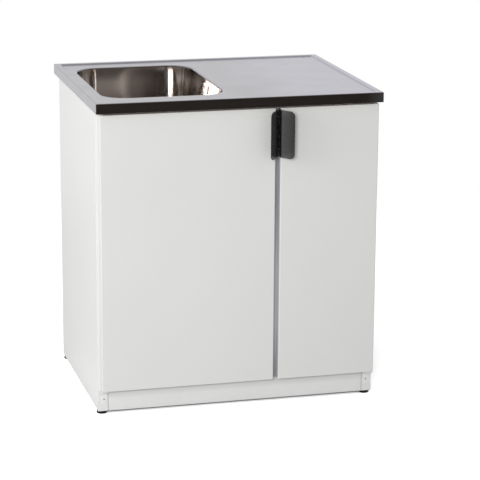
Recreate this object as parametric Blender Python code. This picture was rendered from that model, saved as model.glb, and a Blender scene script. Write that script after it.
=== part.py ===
"""Sink unit: a white two-door base cabinet under a steel sink top with the bowl on the left.

Metres, +Z up, front towards -Y. The origin is on the floor under the middle of the unit's box.
"""
import math

import bmesh
import bpy
from mathutils import Matrix, Vector

# Driving dimensions: worktop
WORKTOP_WIDTH = 0.800
WORKTOP_DEPTH = 0.650
UNIT_HEIGHT = 0.880
WORKTOP_EDGE = 0.028
SKIN = 0.001
RIM_HEIGHT = 0.003
RIM_WIDTH = 0.014
RIM_STEP = 0.004
EDGE_ROUND = 0.002
FRONT_STRIP = 0.0025
SIDE_OVERHANG = 0.005
FRONT_OVERHANG = 0.0205
BACK_OVERHANG = 0.060

# Driving dimensions: cabinet boards
BOARD = 0.028
PANEL = 0.018
BACK_THICKNESS = 0.008
BOARD_BEVEL = 0.0006
RAIL_HEIGHT = 0.070
SHELF_HEIGHT = 0.430
SHELF_SETBACK = 0.025
CLEAT_WIDTH = 0.012
CLEAT_HEIGHT = 0.020

# Driving dimensions: doors
DOOR_THICKNESS = 0.020
DOOR_STAND_OFF = 0.0025
DOOR_BOTTOM = 0.072
DOOR_TOP_GAP = 0.008
DOOR_EDGE_RADIUS = 0.003
RIGHT_DOOR_WIDTH = 0.280
MEETING_GAP = 0.014
LEFT_REVEAL = 0.008
RIGHT_REVEAL = 0.001

# Driving dimensions: door pivots
PIVOT_INSET = 0.009
PIN_RADIUS = 0.003
BUSH_WALL = 0.0022
BUSH_LENGTH = 0.014
PIVOT_GAP = 0.001
BRACKET_THICKNESS = 0.0025
BRACKET_MARGIN = 0.003
BRACKET_NOSE = 0.008
TOP_BRACKET_TAIL = 0.050
BRACKET_SCREW_DROP = 0.0267
BRACKET_SCREW_MARGIN = 0.014
BRACKET_SCREW_INSET = 0.0165

# Driving dimensions: screws
SCREW_RADIUS = 0.002
SCREW_HEAD_RADIUS = 0.0035
SCREW_CROWN_RADIUS = 0.0026
SCREW_HEAD = 0.0015
BRACKET_SCREW_DEPTH = 0.009
HANDLE_SCREW_DEPTH = 0.016

# Driving dimensions: handles
HANDLE_HEIGHT = 0.132
HANDLE_DROP = 0.0035
HANDLE_THICKNESS = 0.003
HANDLE_LEG = 0.0069
HANDLE_BEND_RADIUS = 0.0085
HANDLE_FLARE = math.radians(37.5)
HANDLE_WING = 0.0425
HANDLE_CORNER = 0.015
HANDLE_SETBACK = 0.004
HANDLE_SCREW_SPREAD = 0.045

# Driving dimensions: catches
CATCH_WIDTH = 0.014
CATCH_DEPTH = 0.020
CATCH_HEIGHT = 0.040
CATCH_RISE = 0.022
STRIKE_THICKNESS = 0.0018
STRIKE_MARGIN = 0.002

# Driving dimensions: feet
FOOT_HEIGHT = 0.010
FOOT_NECK = 0.001
FOOT_PAD_RADIUS = 0.015
FOOT_PAD_TAPER = 0.0012
FOOT_STUD_RADIUS = 0.004
FOOT_STUD_REACH = 0.028
FOOT_INSET = 0.020
FOOT_HOLE_SPARE = 0.006

# Driving dimensions: bowl
BOWL_TO_SIDE_PANEL = 0.006
BOWL_TO_FRONT_RAIL = 0.0218
BOWL_TO_REAR_RAIL = 0.001
BOWL_TO_PARTITION = 0.1088
BOWL_CORNER = 0.070
BOWL_DEPTH = 0.165
BOWL_FLANGE = 0.010
BOWL_LIP = 0.003
BOWL_DRAFT = 0.014
BOWL_BOTTOM_RADIUS = 0.035
BOWL_FALL = 0.004
CUTOUT_CLEARANCE = 0.002

# Driving dimensions: waste and strainer
DRAIN_RADIUS = 0.036
DRAIN_SEAT_SPARE = 0.002
WASTE_RIM = 0.007
WASTE_RIM_THICKNESS = 0.002
WASTE_WALL = 0.0015
WASTE_DEPTH = 0.030
WASTE_LEDGE = 0.010
SEAL_THICKNESS = 0.003
WASTE_BODY_RADIUS = 0.046
WASTE_BODY_DEPTH = 0.045
WASTE_BODY_CONE = 0.007
PLASTIC_WALL = 0.003
SPIGOT_LENGTH = 0.025
STRAINER_WALL = 0.0012
STRAINER_TAPER = 0.002
KNOB_RADIUS = 0.008
KNOB_STEM = 0.004
KNOB_FLARE = 0.003
KNOB_BAND = 0.004
KNOB_CROWN = 0.002

# Driving dimensions: overflow
OVERFLOW_DROP = 0.029
OVERFLOW_WIDTH = 0.054
OVERFLOW_HEIGHT = 0.024
OVERFLOW_PLATE = 0.0015
OVERFLOW_SLOTS = 5
OVERFLOW_SLOT_WIDTH = 0.003
OVERFLOW_SLOT_HEIGHT = 0.012
OVERFLOW_HOLE_MARGIN = 0.004
OVERFLOW_HOUSING = 0.022
OVERFLOW_SPIGOT = 0.020
OVERFLOW_PIPE_RADIUS = 0.009
OVERFLOW_STUB = 0.016
OVERFLOW_STUB_LAND = 0.006

# Driving dimensions: trap
PIPE_RADIUS = 0.0165
PIPE_WALL = 0.002
PIPE_OVERLAP = 0.020
NUT_WALL = 0.005
NUT_LENGTH = 0.020
TAIL_EXPOSED = 0.023
TRAP_RADIUS = 0.034
TRAP_COLLAR = 0.015
TRAP_SHOULDER = 0.007
TRAP_UPPER_LAND = 0.003
TRAP_LOWER_LAND = 0.005
TRAP_OUTLET_NECK = 0.008
CUP_LENGTH = 0.060
CUP_OVERLAP = 0.015
OUTLET_SETBACK = 0.012
SERVICE_CLEARANCE = 0.030

# Clearances
FIT = 0.0003
PLAY = 0.0005
CUT_MARGIN = 0.005

# Facets
ROUND_STEPS = 32
FOOT_STEPS = 24
PIN_STEPS = 20
CORNER_STEPS = 6
SIDE_POINTS = 3
LIP_STEPS = 3
BOTTOM_CURVE_STEPS = 5
DOOR_EDGE_STEPS = 4
HANDLE_STEPS = 6
HOSE_POINTS = 15
HOSE_RESOLUTION = 3
SHARP_ANGLE = math.radians(30)

# Planes and levels worked out from the driving dimensions
half_width = WORKTOP_WIDTH / 2
carcass_half = half_width - SIDE_OVERHANG
inner_half = carcass_half - BOARD
handle_centre_reach = (HANDLE_LEG + HANDLE_BEND_RADIUS * math.sin(HANDLE_FLARE)
                       + HANDLE_WING * math.cos(HANDLE_FLARE))
handle_reach = handle_centre_reach + HANDLE_THICKNESS / 2 * math.sin(HANDLE_FLARE)
handle_past_worktop = max(0.0, handle_reach - FRONT_OVERHANG)
worktop_back = (WORKTOP_DEPTH + handle_past_worktop) / 2
worktop_front = worktop_back - WORKTOP_DEPTH
worktop_underside = UNIT_HEIGHT - WORKTOP_EDGE
door_front = worktop_front + FRONT_OVERHANG
door_back = door_front + DOOR_THICKNESS
door_top = worktop_underside - DOOR_TOP_GAP
carcass_front = door_back + DOOR_STAND_OFF
carcass_back = worktop_back - BACK_OVERHANG
panel_top = worktop_underside - FIT
rail_bottom = worktop_underside - RAIL_HEIGHT
base_top = DOOR_BOTTOM + PANEL
inner_back = carcass_back - BACK_THICKNESS

left_outer = -carcass_half + LEFT_REVEAL
right_outer = carcass_half - RIGHT_REVEAL
right_inner = right_outer - RIGHT_DOOR_WIDTH
left_inner = right_inner - MEETING_GAP
meeting = (left_inner + right_inner) / 2
partition_left = meeting - BOARD / 2
partition_right = meeting + BOARD / 2
pivot_y = (door_front + door_back) / 2
bush_radius = PIN_RADIUS + FIT + BUSH_WALL
left_pivot = left_outer + PIVOT_INSET
right_pivot = right_outer - PIVOT_INSET
handle_top = door_top - HANDLE_DROP
handle_bottom = handle_top - HANDLE_HEIGHT

field_top = UNIT_HEIGHT - RIM_HEIGHT
field_under = field_top - SKIN
bowl_left = -inner_half + BOWL_TO_SIDE_PANEL
bowl_right = partition_left - BOWL_TO_PARTITION
bowl_front = carcass_front + PANEL + BOWL_TO_FRONT_RAIL
bowl_back = carcass_back - PANEL - BOWL_TO_REAR_RAIL
bowl_x = (bowl_left + bowl_right) / 2
bowl_y = (bowl_front + bowl_back) / 2
bowl_top = field_under - FIT
bowl_floor = bowl_top - BOWL_DEPTH
wall_top = bowl_top - BOWL_LIP
wall_bottom = bowl_floor + BOWL_FALL + BOWL_BOTTOM_RADIUS

waste_tube_radius = DRAIN_RADIUS - PLAY
strainer_seat_radius = waste_tube_radius - WASTE_WALL
seal_top = bowl_floor - SKIN - FIT
waste_body_top = seal_top - SEAL_THICKNESS - FIT
spigot_top = waste_body_top - WASTE_BODY_DEPTH - WASTE_BODY_CONE
spigot_bottom = spigot_top - SPIGOT_LENGTH
spigot_radius = PIPE_RADIUS + PLAY + PLASTIC_WALL
trap_top = spigot_bottom - TAIL_EXPOSED
outlet_level = trap_top - TRAP_COLLAR - TRAP_SHOULDER - TRAP_UPPER_LAND - spigot_radius
trap_bottom = outlet_level - spigot_radius - TRAP_LOWER_LAND - CUP_OVERLAP
trap_outlet_reach = TRAP_RADIUS + TRAP_OUTLET_NECK + NUT_LENGTH
outlet_end = worktop_back - OUTLET_SETBACK
back_top = outlet_level - spigot_radius - SERVICE_CLEARANCE

overflow_level = field_top - OVERFLOW_DROP
wall_slope = math.atan2(BOWL_DRAFT - BOWL_LIP, wall_top - wall_bottom)
overflow_wall = bowl_right - BOWL_LIP - (wall_top - overflow_level) * math.tan(wall_slope)
overflow_stub_level = waste_body_top - WASTE_BODY_DEPTH + OVERFLOW_PIPE_RADIUS + OVERFLOW_STUB_LAND


def clear_scene():
    for item in list(bpy.data.objects):
        bpy.data.objects.remove(item, do_unlink=True)


def linear(hex_colour):
    """Turn an sRGB hex colour into linear red, green and blue."""
    channels = [int(hex_colour[i:i + 2], 16) / 255 for i in (1, 3, 5)]
    return [c / 12.92 if c <= 0.04045 else ((c + 0.055) / 1.055) ** 2.4 for c in channels]


def material(name, hex_colour, roughness, metallic=0.0):
    made = bpy.data.materials.new(name)
    made.use_nodes = True
    shader = made.node_tree.nodes["Principled BSDF"]
    shader.inputs["Base Color"].default_value = (*linear(hex_colour), 1.0)
    shader.inputs["Roughness"].default_value = roughness
    shader.inputs["Metallic"].default_value = metallic
    made.diffuse_color = (*linear(hex_colour), 1.0)
    return made


def pivot(name, place, parent=None):
    """Add an empty that carries a group of pieces, standing on its joint axis."""
    made = bpy.data.objects.new(name, None)
    bpy.context.collection.objects.link(made)
    made.location = place
    made.parent = parent
    return made


def mesh_object(name, bm, origin):
    """Turn a bmesh in world coordinates into an object with its origin at the given point."""
    bmesh.ops.recalc_face_normals(bm, faces=bm.faces[:])
    bmesh.ops.translate(bm, vec=-Vector(origin), verts=bm.verts[:])
    mesh = bpy.data.meshes.new(name)
    bm.to_mesh(mesh)
    bm.free()
    made = bpy.data.objects.new(name, mesh)
    bpy.context.collection.objects.link(made)
    return made


def node(name, bm, finish, carrier, origin=None):
    """Make one named piece on its carrier; its origin is its own held point or the carrier's."""
    place = Vector(origin) if origin else carrier.location.copy()
    made = mesh_object(name, bm, place)
    made.data.materials.append(finish)
    made.data.shade_smooth()
    made.data.set_sharp_from_angle(angle=SHARP_ANGLE)
    made.parent = carrier
    made.location = place - carrier.location
    return made


def world_origin(piece):
    return piece.location + piece.parent.location


def boolean(piece, bm, operation):
    """Cut a shape out of a piece, or join one to it, with a wire guide that stays with the piece."""
    guide = mesh_object(f"{piece.name}_guide_{len(piece.modifiers)}", bm, world_origin(piece))
    guide.parent = piece
    guide.hide_render = True
    guide.display_type = "WIRE"
    modifier = piece.modifiers.new(operation.title(), "BOOLEAN")
    modifier.operation = operation
    modifier.object = guide
    modifier.solver = "EXACT"


def cut(piece, bm):
    boolean(piece, bm, "DIFFERENCE")


def fuse(piece, bm):
    boolean(piece, bm, "UNION")


def along(axis, u, v, w):
    """Place a flat point (u, v) at w along the named axis."""
    if axis == "X":
        return Vector((w, u, v))
    if axis == "Y":
        return Vector((u, w, v))
    return Vector((u, v, w))


def add_box(bm, low, high, bevel=0.0):
    low, high = Vector(low), Vector(high)
    verts = bmesh.ops.create_cube(bm, size=1.0)["verts"]
    bmesh.ops.scale(bm, vec=high - low, verts=verts)
    bmesh.ops.translate(bm, vec=(low + high) / 2, verts=verts)
    if bevel:
        edges = list({edge for vert in verts for edge in vert.link_edges})
        bmesh.ops.bevel(bm, geom=edges, offset=bevel, segments=1, profile=0.5, affect="EDGES")
    return bm


def add_loft(bm, sections):
    """Skin a row of like sections and cap both ends."""
    rows = [[bm.verts.new(point) for point in section] for section in sections]
    count = len(rows[0])
    for first, second in zip(rows, rows[1:]):
        for k in range(count):
            after = (k + 1) % count
            bm.faces.new((first[k], first[after], second[after], second[k]))
    bm.faces.new(rows[0])
    bm.faces.new(rows[-1])
    return bm


def add_prism(bm, outline, low, high, axis="Z"):
    return add_loft(bm, [[along(axis, u, v, w) for u, v in outline] for w in (low, high)])


def add_turned(bm, profile, centre, axis="Z", steps=ROUND_STEPS):
    """Turn a (radius, height) profile; one that starts and ends on the axis is a solid, another a ring."""
    centre = Vector(centre)
    solid = profile[0][0] == 0 and profile[-1][0] == 0
    rows = []
    for radius, height in profile:
        if radius == 0:
            rows.append([bm.verts.new(centre + along(axis, 0, 0, height))] * steps)
            continue
        angles = [2 * math.pi * k / steps for k in range(steps)]
        rows.append([bm.verts.new(centre + along(axis, radius * math.cos(a), radius * math.sin(a), height))
                     for a in angles])
    pairs = list(zip(rows, rows[1:]))
    if not solid:
        pairs.append((rows[-1], rows[0]))
    for first, second in pairs:
        for k in range(steps):
            after = (k + 1) % steps
            corners = list(dict.fromkeys((first[k], first[after], second[after], second[k])))
            if len(corners) > 2:
                bm.faces.new(corners)
    return bm


def add_rod(bm, radius, low, high, centre, axis="Z", steps=PIN_STEPS):
    return add_turned(bm, [(0, low), (radius, low), (radius, high), (0, high)], centre, axis, steps)


def add_screw(bm, centre, axis, head_side, depth):
    """A pan-head screw whose head sits on the centre point, with its shank running the other way."""
    neck = head_side * FIT
    crown = neck + head_side * SCREW_HEAD
    tip = -head_side * depth
    profile = [(0, tip), (SCREW_RADIUS, tip), (SCREW_RADIUS, neck), (SCREW_HEAD_RADIUS, neck),
               (SCREW_CROWN_RADIUS, crown), (0, crown)]
    return add_turned(bm, profile, centre, axis, PIN_STEPS)


def rounded_rectangle(low_u, high_u, low_v, high_v, radius, steps, side_points=0):
    """Corner arcs and straight sides, counter-clockwise from the lower side's right end."""
    centres = [(high_u - radius, low_v + radius), (high_u - radius, high_v - radius),
               (low_u + radius, high_v - radius), (low_u + radius, low_v + radius)]
    corners = []
    for quarter, (u, v) in enumerate(centres):
        angles = [math.pi / 2 * (quarter - 1 + k / steps) for k in range(steps + 1)]
        corners.append([(u + radius * math.cos(a), v + radius * math.sin(a)) for a in angles])
    outline = []
    for corner, following in zip(corners, corners[1:] + corners[:1]):
        outline += corner
        start, end = Vector(corner[-1]), Vector(following[0])
        outline += [tuple(start.lerp(end, k / (side_points + 1))) for k in range(1, side_points + 1)]
    return outline


def bowl_outline(inset):
    """The bowl's plan outline, drawn in by the given distance."""
    return rounded_rectangle(bowl_left + inset, bowl_right - inset, bowl_front + inset, bowl_back - inset,
                             BOWL_CORNER - inset, CORNER_STEPS, SIDE_POINTS)


def side_sign(side):
    return -1 if side == "left" else 1


def foot_places():
    """Name, x and y of each foot, under the middle of the side panels."""
    for depth_name, y in (("front", carcass_front + FOOT_INSET), ("rear", carcass_back - FOOT_INSET)):
        for side in ("left", "right"):
            yield f"foot_{depth_name}_{side}", side_sign(side) * (carcass_half - BOARD / 2), y


def bracket_span(side):
    """Low and high x of a pivot bracket, inside the width of its side panel's edge."""
    faces = sorted(side_sign(side) * x for x in (inner_half, carcass_half))
    return faces[0] + BRACKET_MARGIN, faces[1] - BRACKET_MARGIN


def pivot_x(side):
    return left_pivot if side == "left" else right_pivot


def bracket_screw_place(side):
    """Where the lower bracket's screw enters the front edge of its side panel."""
    return side_sign(side) * (carcass_half - BRACKET_SCREW_INSET), carcass_front, DOOR_BOTTOM - BRACKET_SCREW_DROP


def top_bracket_box(side, grow):
    low, high = bracket_span(side)
    return ((low - grow, pivot_y - BRACKET_NOSE - grow, panel_top - BRACKET_THICKNESS - grow),
            (high + grow, carcass_front + TOP_BRACKET_TAIL + grow, panel_top + grow))


def bottom_bracket_levels():
    return DOOR_BOTTOM - BRACKET_SCREW_DROP - BRACKET_SCREW_MARGIN, DOOR_BOTTOM - PIVOT_GAP


def side_panel(side, finish, carrier):
    """A thick white board, rebated for the pivot brackets and bored for their screw and the feet."""
    sign = side_sign(side)
    low_x, high_x = sorted((sign * inner_half, sign * carcass_half))
    board = add_box(bmesh.new(), (low_x, carcass_front, FOOT_HEIGHT), (high_x, carcass_back, panel_top),
                    BOARD_BEVEL)
    panel = node(f"side_panel_{side}", board, finish, carrier)
    cutters = bmesh.new()
    low, high = top_bracket_box(side, FIT)
    add_box(cutters, low, (high[0], high[1], panel_top + CUT_MARGIN))
    span = bracket_span(side)
    plate_bottom, plate_top = bottom_bracket_levels()
    add_box(cutters, (span[0] - FIT, carcass_front - CUT_MARGIN, plate_bottom - FIT),
            (span[1] + FIT, carcass_front + BRACKET_THICKNESS + FIT, plate_top + FIT))
    for name, x, y in foot_places():
        if name.endswith(side):
            add_rod(cutters, FOOT_STUD_RADIUS + FIT, -CUT_MARGIN, FOOT_STUD_REACH + FOOT_HOLE_SPARE,
                    (x, y, FOOT_HEIGHT))
    cut(panel, cutters)
    cut(panel, add_rod(bmesh.new(), SCREW_RADIUS + FIT, 0, BRACKET_SCREW_DEPTH + FIT,
                       bracket_screw_place(side), "Y"))


def inner_boards(finish, back_finish, carrier):
    """Base, plinth, rails, partition, shelf, cleats and back, each a plain board between the side panels."""
    reach = inner_half - FIT
    shelf_front = carcass_front + SHELF_SETBACK
    back = inner_back - FIT
    cleat_top = SHELF_HEIGHT - FIT
    cleat_bottom = cleat_top - CLEAT_HEIGHT
    boards = {
        "base_panel": ((-reach, carcass_front, DOOR_BOTTOM), (reach, back, base_top)),
        "plinth_board": ((-reach, carcass_front, FOOT_HEIGHT),
                         (reach, carcass_front + PANEL, DOOR_BOTTOM - FIT)),
        "front_rail": ((-reach, carcass_front, rail_bottom), (reach, carcass_front + PANEL, panel_top)),
        "rear_rail": ((-reach, carcass_back - PANEL, rail_bottom), (reach, carcass_back, panel_top)),
        "centre_partition": ((partition_left, carcass_front, base_top + FIT),
                             (partition_right, back, rail_bottom - FIT)),
        "shelf": ((partition_right + FIT, shelf_front, SHELF_HEIGHT), (reach, back, SHELF_HEIGHT + PANEL)),
        "left_shelf_cleat": ((partition_right + FIT, shelf_front, cleat_bottom),
                             (partition_right + FIT + CLEAT_WIDTH, back, cleat_top)),
        "right_shelf_cleat": ((reach - CLEAT_WIDTH, shelf_front, cleat_bottom), (reach, back, cleat_top)),
    }
    for name, corners in boards.items():
        node(name, add_box(bmesh.new(), *corners, BOARD_BEVEL), finish, carrier)
    sheet = add_box(bmesh.new(), (-reach, inner_back, DOOR_BOTTOM), (reach, carcass_back, back_top))
    node("back_panel", sheet, back_finish, carrier)


def worktop_core(finish, carrier):
    """A board that stiffens the steel top, cut out for the bowl and notched for the overflow housing."""
    inset = SKIN + FIT
    board = add_box(bmesh.new(), (-half_width + inset, worktop_front + FRONT_STRIP + FIT, worktop_underside),
                    (half_width - inset, worktop_back - inset, field_under - FIT))
    core = node("worktop_core", board, finish, carrier)
    opening = bowl_outline(-BOWL_FLANGE - CUTOUT_CLEARANCE)
    low, high = worktop_underside - CUT_MARGIN, field_under + CUT_MARGIN
    cut(core, add_prism(bmesh.new(), opening, low, high))
    reach = OVERFLOW_WIDTH / 2 + CUTOUT_CLEARANCE
    notch_end = overflow_wall + SKIN + OVERFLOW_HOUSING + CUT_MARGIN
    notch_start = bowl_right - CUT_MARGIN
    cut(core, add_box(bmesh.new(), (notch_start, bowl_y - reach, low), (notch_end, bowl_y + reach, high)))


def rectangle(inset, level):
    left, right = -half_width + inset, half_width - inset
    front, back = worktop_front + inset, worktop_back - inset
    return [Vector((x, y, level)) for x, y in ((left, front), (right, front), (right, back), (left, back))]


def steel_top(finish, carrier):
    """A folded sheet: ends and back turned down, a raised rim, a lower field and the bowl opening."""
    rim_inner = EDGE_ROUND + RIM_WIDTH
    field = rim_inner + RIM_STEP
    outside = [rectangle(0, worktop_underside), rectangle(0, UNIT_HEIGHT - EDGE_ROUND),
               rectangle(EDGE_ROUND, UNIT_HEIGHT), rectangle(rim_inner, UNIT_HEIGHT),
               rectangle(field, field_top)]
    inside = [rectangle(field, field_under), rectangle(rim_inner, UNIT_HEIGHT - SKIN),
              rectangle(EDGE_ROUND, UNIT_HEIGHT - SKIN), rectangle(SKIN, UNIT_HEIGHT - EDGE_ROUND),
              rectangle(SKIN, worktop_underside)]
    sheet = bmesh.new()
    upper = [[sheet.verts.new(point) for point in row] for row in outside]
    lower = [[sheet.verts.new(point) for point in row] for row in inside]
    for first, second in [*zip(upper, upper[1:]), *zip(lower, lower[1:]), (lower[-1], upper[0])]:
        for k in range(4):
            after = (k + 1) % 4
            sheet.faces.new((first[k], first[after], second[after], second[k]))
    sheet.faces.new(upper[-1])
    sheet.faces.new(lower[0])
    top = node("steel_top", sheet, finish, carrier)
    nose = UNIT_HEIGHT - EDGE_ROUND + FIT
    cut(top, add_box(bmesh.new(),
                     (-half_width - CUT_MARGIN, worktop_front - CUT_MARGIN, worktop_underside - CUT_MARGIN),
                     (half_width + CUT_MARGIN, worktop_front + FRONT_STRIP + FIT, nose)))
    cut(top, add_prism(bmesh.new(), bowl_outline(0), field_under - CUT_MARGIN, field_top + CUT_MARGIN))


def front_edge_strip(finish, carrier):
    strip = add_box(bmesh.new(), (-half_width, worktop_front, worktop_underside),
                    (half_width, worktop_front + FRONT_STRIP, UNIT_HEIGHT - EDGE_ROUND - FIT))
    node("front_edge_strip", strip, finish, carrier)


def bowl_rows():
    """Inset and level of each ring of the bowl's inner face, from the flange down to the floor."""
    rows = [(-BOWL_FLANGE, bowl_top)]
    for k in range(LIP_STEPS + 1):
        angle = math.pi / 2 * k / LIP_STEPS
        rows.append((BOWL_LIP * math.sin(angle), bowl_top - BOWL_LIP * (1 - math.cos(angle))))
    for k in range(BOTTOM_CURVE_STEPS + 1):
        angle = wall_slope + (math.pi / 2 - wall_slope) * k / BOTTOM_CURVE_STEPS
        rows.append((BOWL_DRAFT + BOWL_BOTTOM_RADIUS * (math.cos(wall_slope) - math.cos(angle)),
                     wall_bottom - BOWL_BOTTOM_RADIUS * (math.sin(angle) - math.sin(wall_slope))))
    return rows


def drain_ring(radius):
    """A round ring on the bowl's floor, with a point for each point of the bowl's outline."""
    quarter = CORNER_STEPS + 1 + SIDE_POINTS
    angles = [math.pi / 2 * ((k - CORNER_STEPS / 2) / quarter - 0.5) for k in range(4 * quarter)]
    return [Vector((bowl_x + radius * math.cos(a), bowl_y + radius * math.sin(a), bowl_floor)) for a in angles]


def sink_bowl(finish, carrier):
    """A drawn steel bowl with a flange under the top, tapered walls, round corners and a fall to the drain."""
    rows = bowl_rows()
    rings = [[Vector((u, v, level)) for u, v in bowl_outline(inset)] for inset, level in rows]
    rings += [drain_ring(DRAIN_RADIUS + WASTE_RIM + DRAIN_SEAT_SPARE), drain_ring(DRAIN_RADIUS)]
    shell = bmesh.new()
    loops = [[shell.verts.new(point) for point in ring] for ring in rings]
    count = len(loops[0])
    for first, second in zip(loops, loops[1:]):
        for k in range(count):
            after = (k + 1) % count
            shell.faces.new((first[k], first[after], second[after], second[k]))
    bowl = node("sink_bowl", shell, finish, carrier)
    wall = bowl.modifiers.new("Wall", "SOLIDIFY")
    wall.thickness = SKIN
    wall.offset = -1.0
    wall.use_even_offset = True
    width = OVERFLOW_WIDTH - 2 * OVERFLOW_HOLE_MARGIN
    height = OVERFLOW_HEIGHT - 2 * OVERFLOW_HOLE_MARGIN
    cut(bowl, tilted_box((-CUT_MARGIN, -width / 2, -height / 2), (CUT_MARGIN, width / 2, height / 2)))


def tilted_box(low, high):
    """A box on the bowl's right wall at the overflow: x leaves the wall outwards, z climbs along it."""
    box = add_box(bmesh.new(), low, high)
    place = Matrix.Translation((overflow_wall, bowl_y, overflow_level)) @ Matrix.Rotation(wall_slope, 4, "Y")
    bmesh.ops.transform(box, matrix=place, verts=box.verts[:])
    return box


def overflow(steel, plastic, carrier):
    """A slotted plate inside the wall, a moulded housing behind it and a pipe down to the waste body."""
    half = OVERFLOW_WIDTH / 2
    tall = OVERFLOW_HEIGHT / 2
    plate = node("overflow_plate", tilted_box((-FIT - OVERFLOW_PLATE, -half, -tall), (-FIT, half, tall)),
                 steel, carrier)
    pitch = OVERFLOW_WIDTH / (OVERFLOW_SLOTS + 1)
    for k in range(OVERFLOW_SLOTS):
        middle = -half + pitch * (k + 1)
        cut(plate, tilted_box((-CUT_MARGIN, middle - OVERFLOW_SLOT_WIDTH / 2, -OVERFLOW_SLOT_HEIGHT / 2),
                              (CUT_MARGIN, middle + OVERFLOW_SLOT_WIDTH / 2, OVERFLOW_SLOT_HEIGHT / 2)))
    back = SKIN + FIT
    housing = node("overflow_housing", tilted_box((back, -half, -tall), (back + OVERFLOW_HOUSING, half, tall)),
                   plastic, carrier)
    pipe_x = overflow_wall + back + OVERFLOW_HOUSING / 2
    pipe_start = overflow_level - tall - OVERFLOW_SPIGOT
    fuse(housing, add_rod(bmesh.new(), OVERFLOW_PIPE_RADIUS, -tall - OVERFLOW_SPIGOT, 0,
                          (pipe_x, bowl_y, overflow_level)))
    start = Vector((pipe_x, bowl_y, pipe_start - FIT))
    end = Vector((bowl_x + WASTE_BODY_RADIUS + OVERFLOW_STUB + FIT, bowl_y, overflow_stub_level))
    drop = start.z - end.z
    controls = (start, start - Vector((0, 0, drop)), end + Vector((drop / 2, 0, 0)), end)
    curve = bpy.data.curves.new("overflow_pipe", "CURVE")
    curve.dimensions = "3D"
    curve.bevel_depth = OVERFLOW_PIPE_RADIUS
    curve.bevel_resolution = HOSE_RESOLUTION
    curve.use_fill_caps = True
    spline = curve.splines.new("POLY")
    spline.points.add(HOSE_POINTS - 1)
    for k, point in enumerate(spline.points):
        t = k / (HOSE_POINTS - 1)
        weights = ((1 - t) ** 3, 3 * t * (1 - t) ** 2, 3 * t * t * (1 - t), t ** 3)
        spot = sum((weight * control for weight, control in zip(weights, controls)), Vector())
        point.co = (*spot, 1.0)
    curve.materials.append(plastic)
    pipe = bpy.data.objects.new("overflow_pipe", curve)
    bpy.context.collection.objects.link(pipe)
    pipe.parent = carrier


def waste_fitting(steel, rubber, plastic, carrier):
    """Steel flange through the bowl's drain hole, a seal under the bowl and a moulded waste body."""
    place = (bowl_x, bowl_y, 0)
    rim = bowl_floor + FIT
    tube = waste_tube_radius
    seat = strainer_seat_radius
    bottom = bowl_floor - WASTE_DEPTH
    flange = [(DRAIN_RADIUS + WASTE_RIM, rim), (DRAIN_RADIUS + WASTE_RIM, rim + WASTE_RIM_THICKNESS / 2),
              (seat, rim + WASTE_RIM_THICKNESS), (seat, bottom + WASTE_RIM_THICKNESS),
              (seat - WASTE_LEDGE, bottom + WASTE_RIM_THICKNESS), (seat - WASTE_LEDGE, bottom), (tube, bottom),
              (tube, rim)]
    node("waste_flange", add_turned(bmesh.new(), flange, place), steel, carrier)
    seal = [(tube + PLAY, seal_top - SEAL_THICKNESS), (WASTE_BODY_RADIUS, seal_top - SEAL_THICKNESS),
            (WASTE_BODY_RADIUS, seal_top), (tube + PLAY, seal_top)]
    node("waste_seal", add_turned(bmesh.new(), seal, place), rubber, carrier)
    top = waste_body_top
    inner = WASTE_BODY_RADIUS - PLASTIC_WALL
    shoulder = top - WASTE_BODY_DEPTH
    bore = PIPE_RADIUS + PLAY
    body = [(WASTE_BODY_RADIUS, top), (WASTE_BODY_RADIUS, shoulder), (spigot_radius, spigot_top),
            (spigot_radius, spigot_bottom), (bore, spigot_bottom), (bore, spigot_top + PLASTIC_WALL),
            (inner, shoulder + PLASTIC_WALL), (inner, top)]
    made = node("waste_body", add_turned(bmesh.new(), body, place), plastic, carrier)
    fuse(made, add_rod(bmesh.new(), OVERFLOW_PIPE_RADIUS, WASTE_BODY_RADIUS - PLASTIC_WALL / 2,
                       WASTE_BODY_RADIUS + OVERFLOW_STUB, (bowl_x, bowl_y, overflow_stub_level), "X"))


def basket_strainer(steel, carrier):
    """A lift-out basket with a knob, sitting on the ledge inside the waste flange."""
    base = bowl_floor - WASTE_DEPTH + WASTE_RIM_THICKNESS + FIT
    rim = bowl_floor
    wide = strainer_seat_radius - FIT
    narrow = wide - STRAINER_TAPER
    floor = base + STRAINER_WALL
    flare = rim + KNOB_FLARE
    band = flare + KNOB_BAND
    profile = [(0, base), (narrow, base), (wide, rim), (wide - STRAINER_WALL, rim),
               (narrow - STRAINER_WALL, floor), (KNOB_STEM, floor), (KNOB_STEM, rim),
               (KNOB_RADIUS, flare), (KNOB_RADIUS, band), (0, band + KNOB_CROWN)]
    node("basket_strainer", add_turned(bmesh.new(), profile, (bowl_x, bowl_y, 0)), steel, carrier)


def slip_nut(name, finish, carrier, hole, low, high, centre, axis="Z"):
    wide = hole + NUT_WALL
    profile = [(hole, low), (wide, low), (wide, high), (hole, high)]
    node(name, add_turned(bmesh.new(), profile, centre, axis, ROUND_STEPS), finish, carrier)


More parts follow.
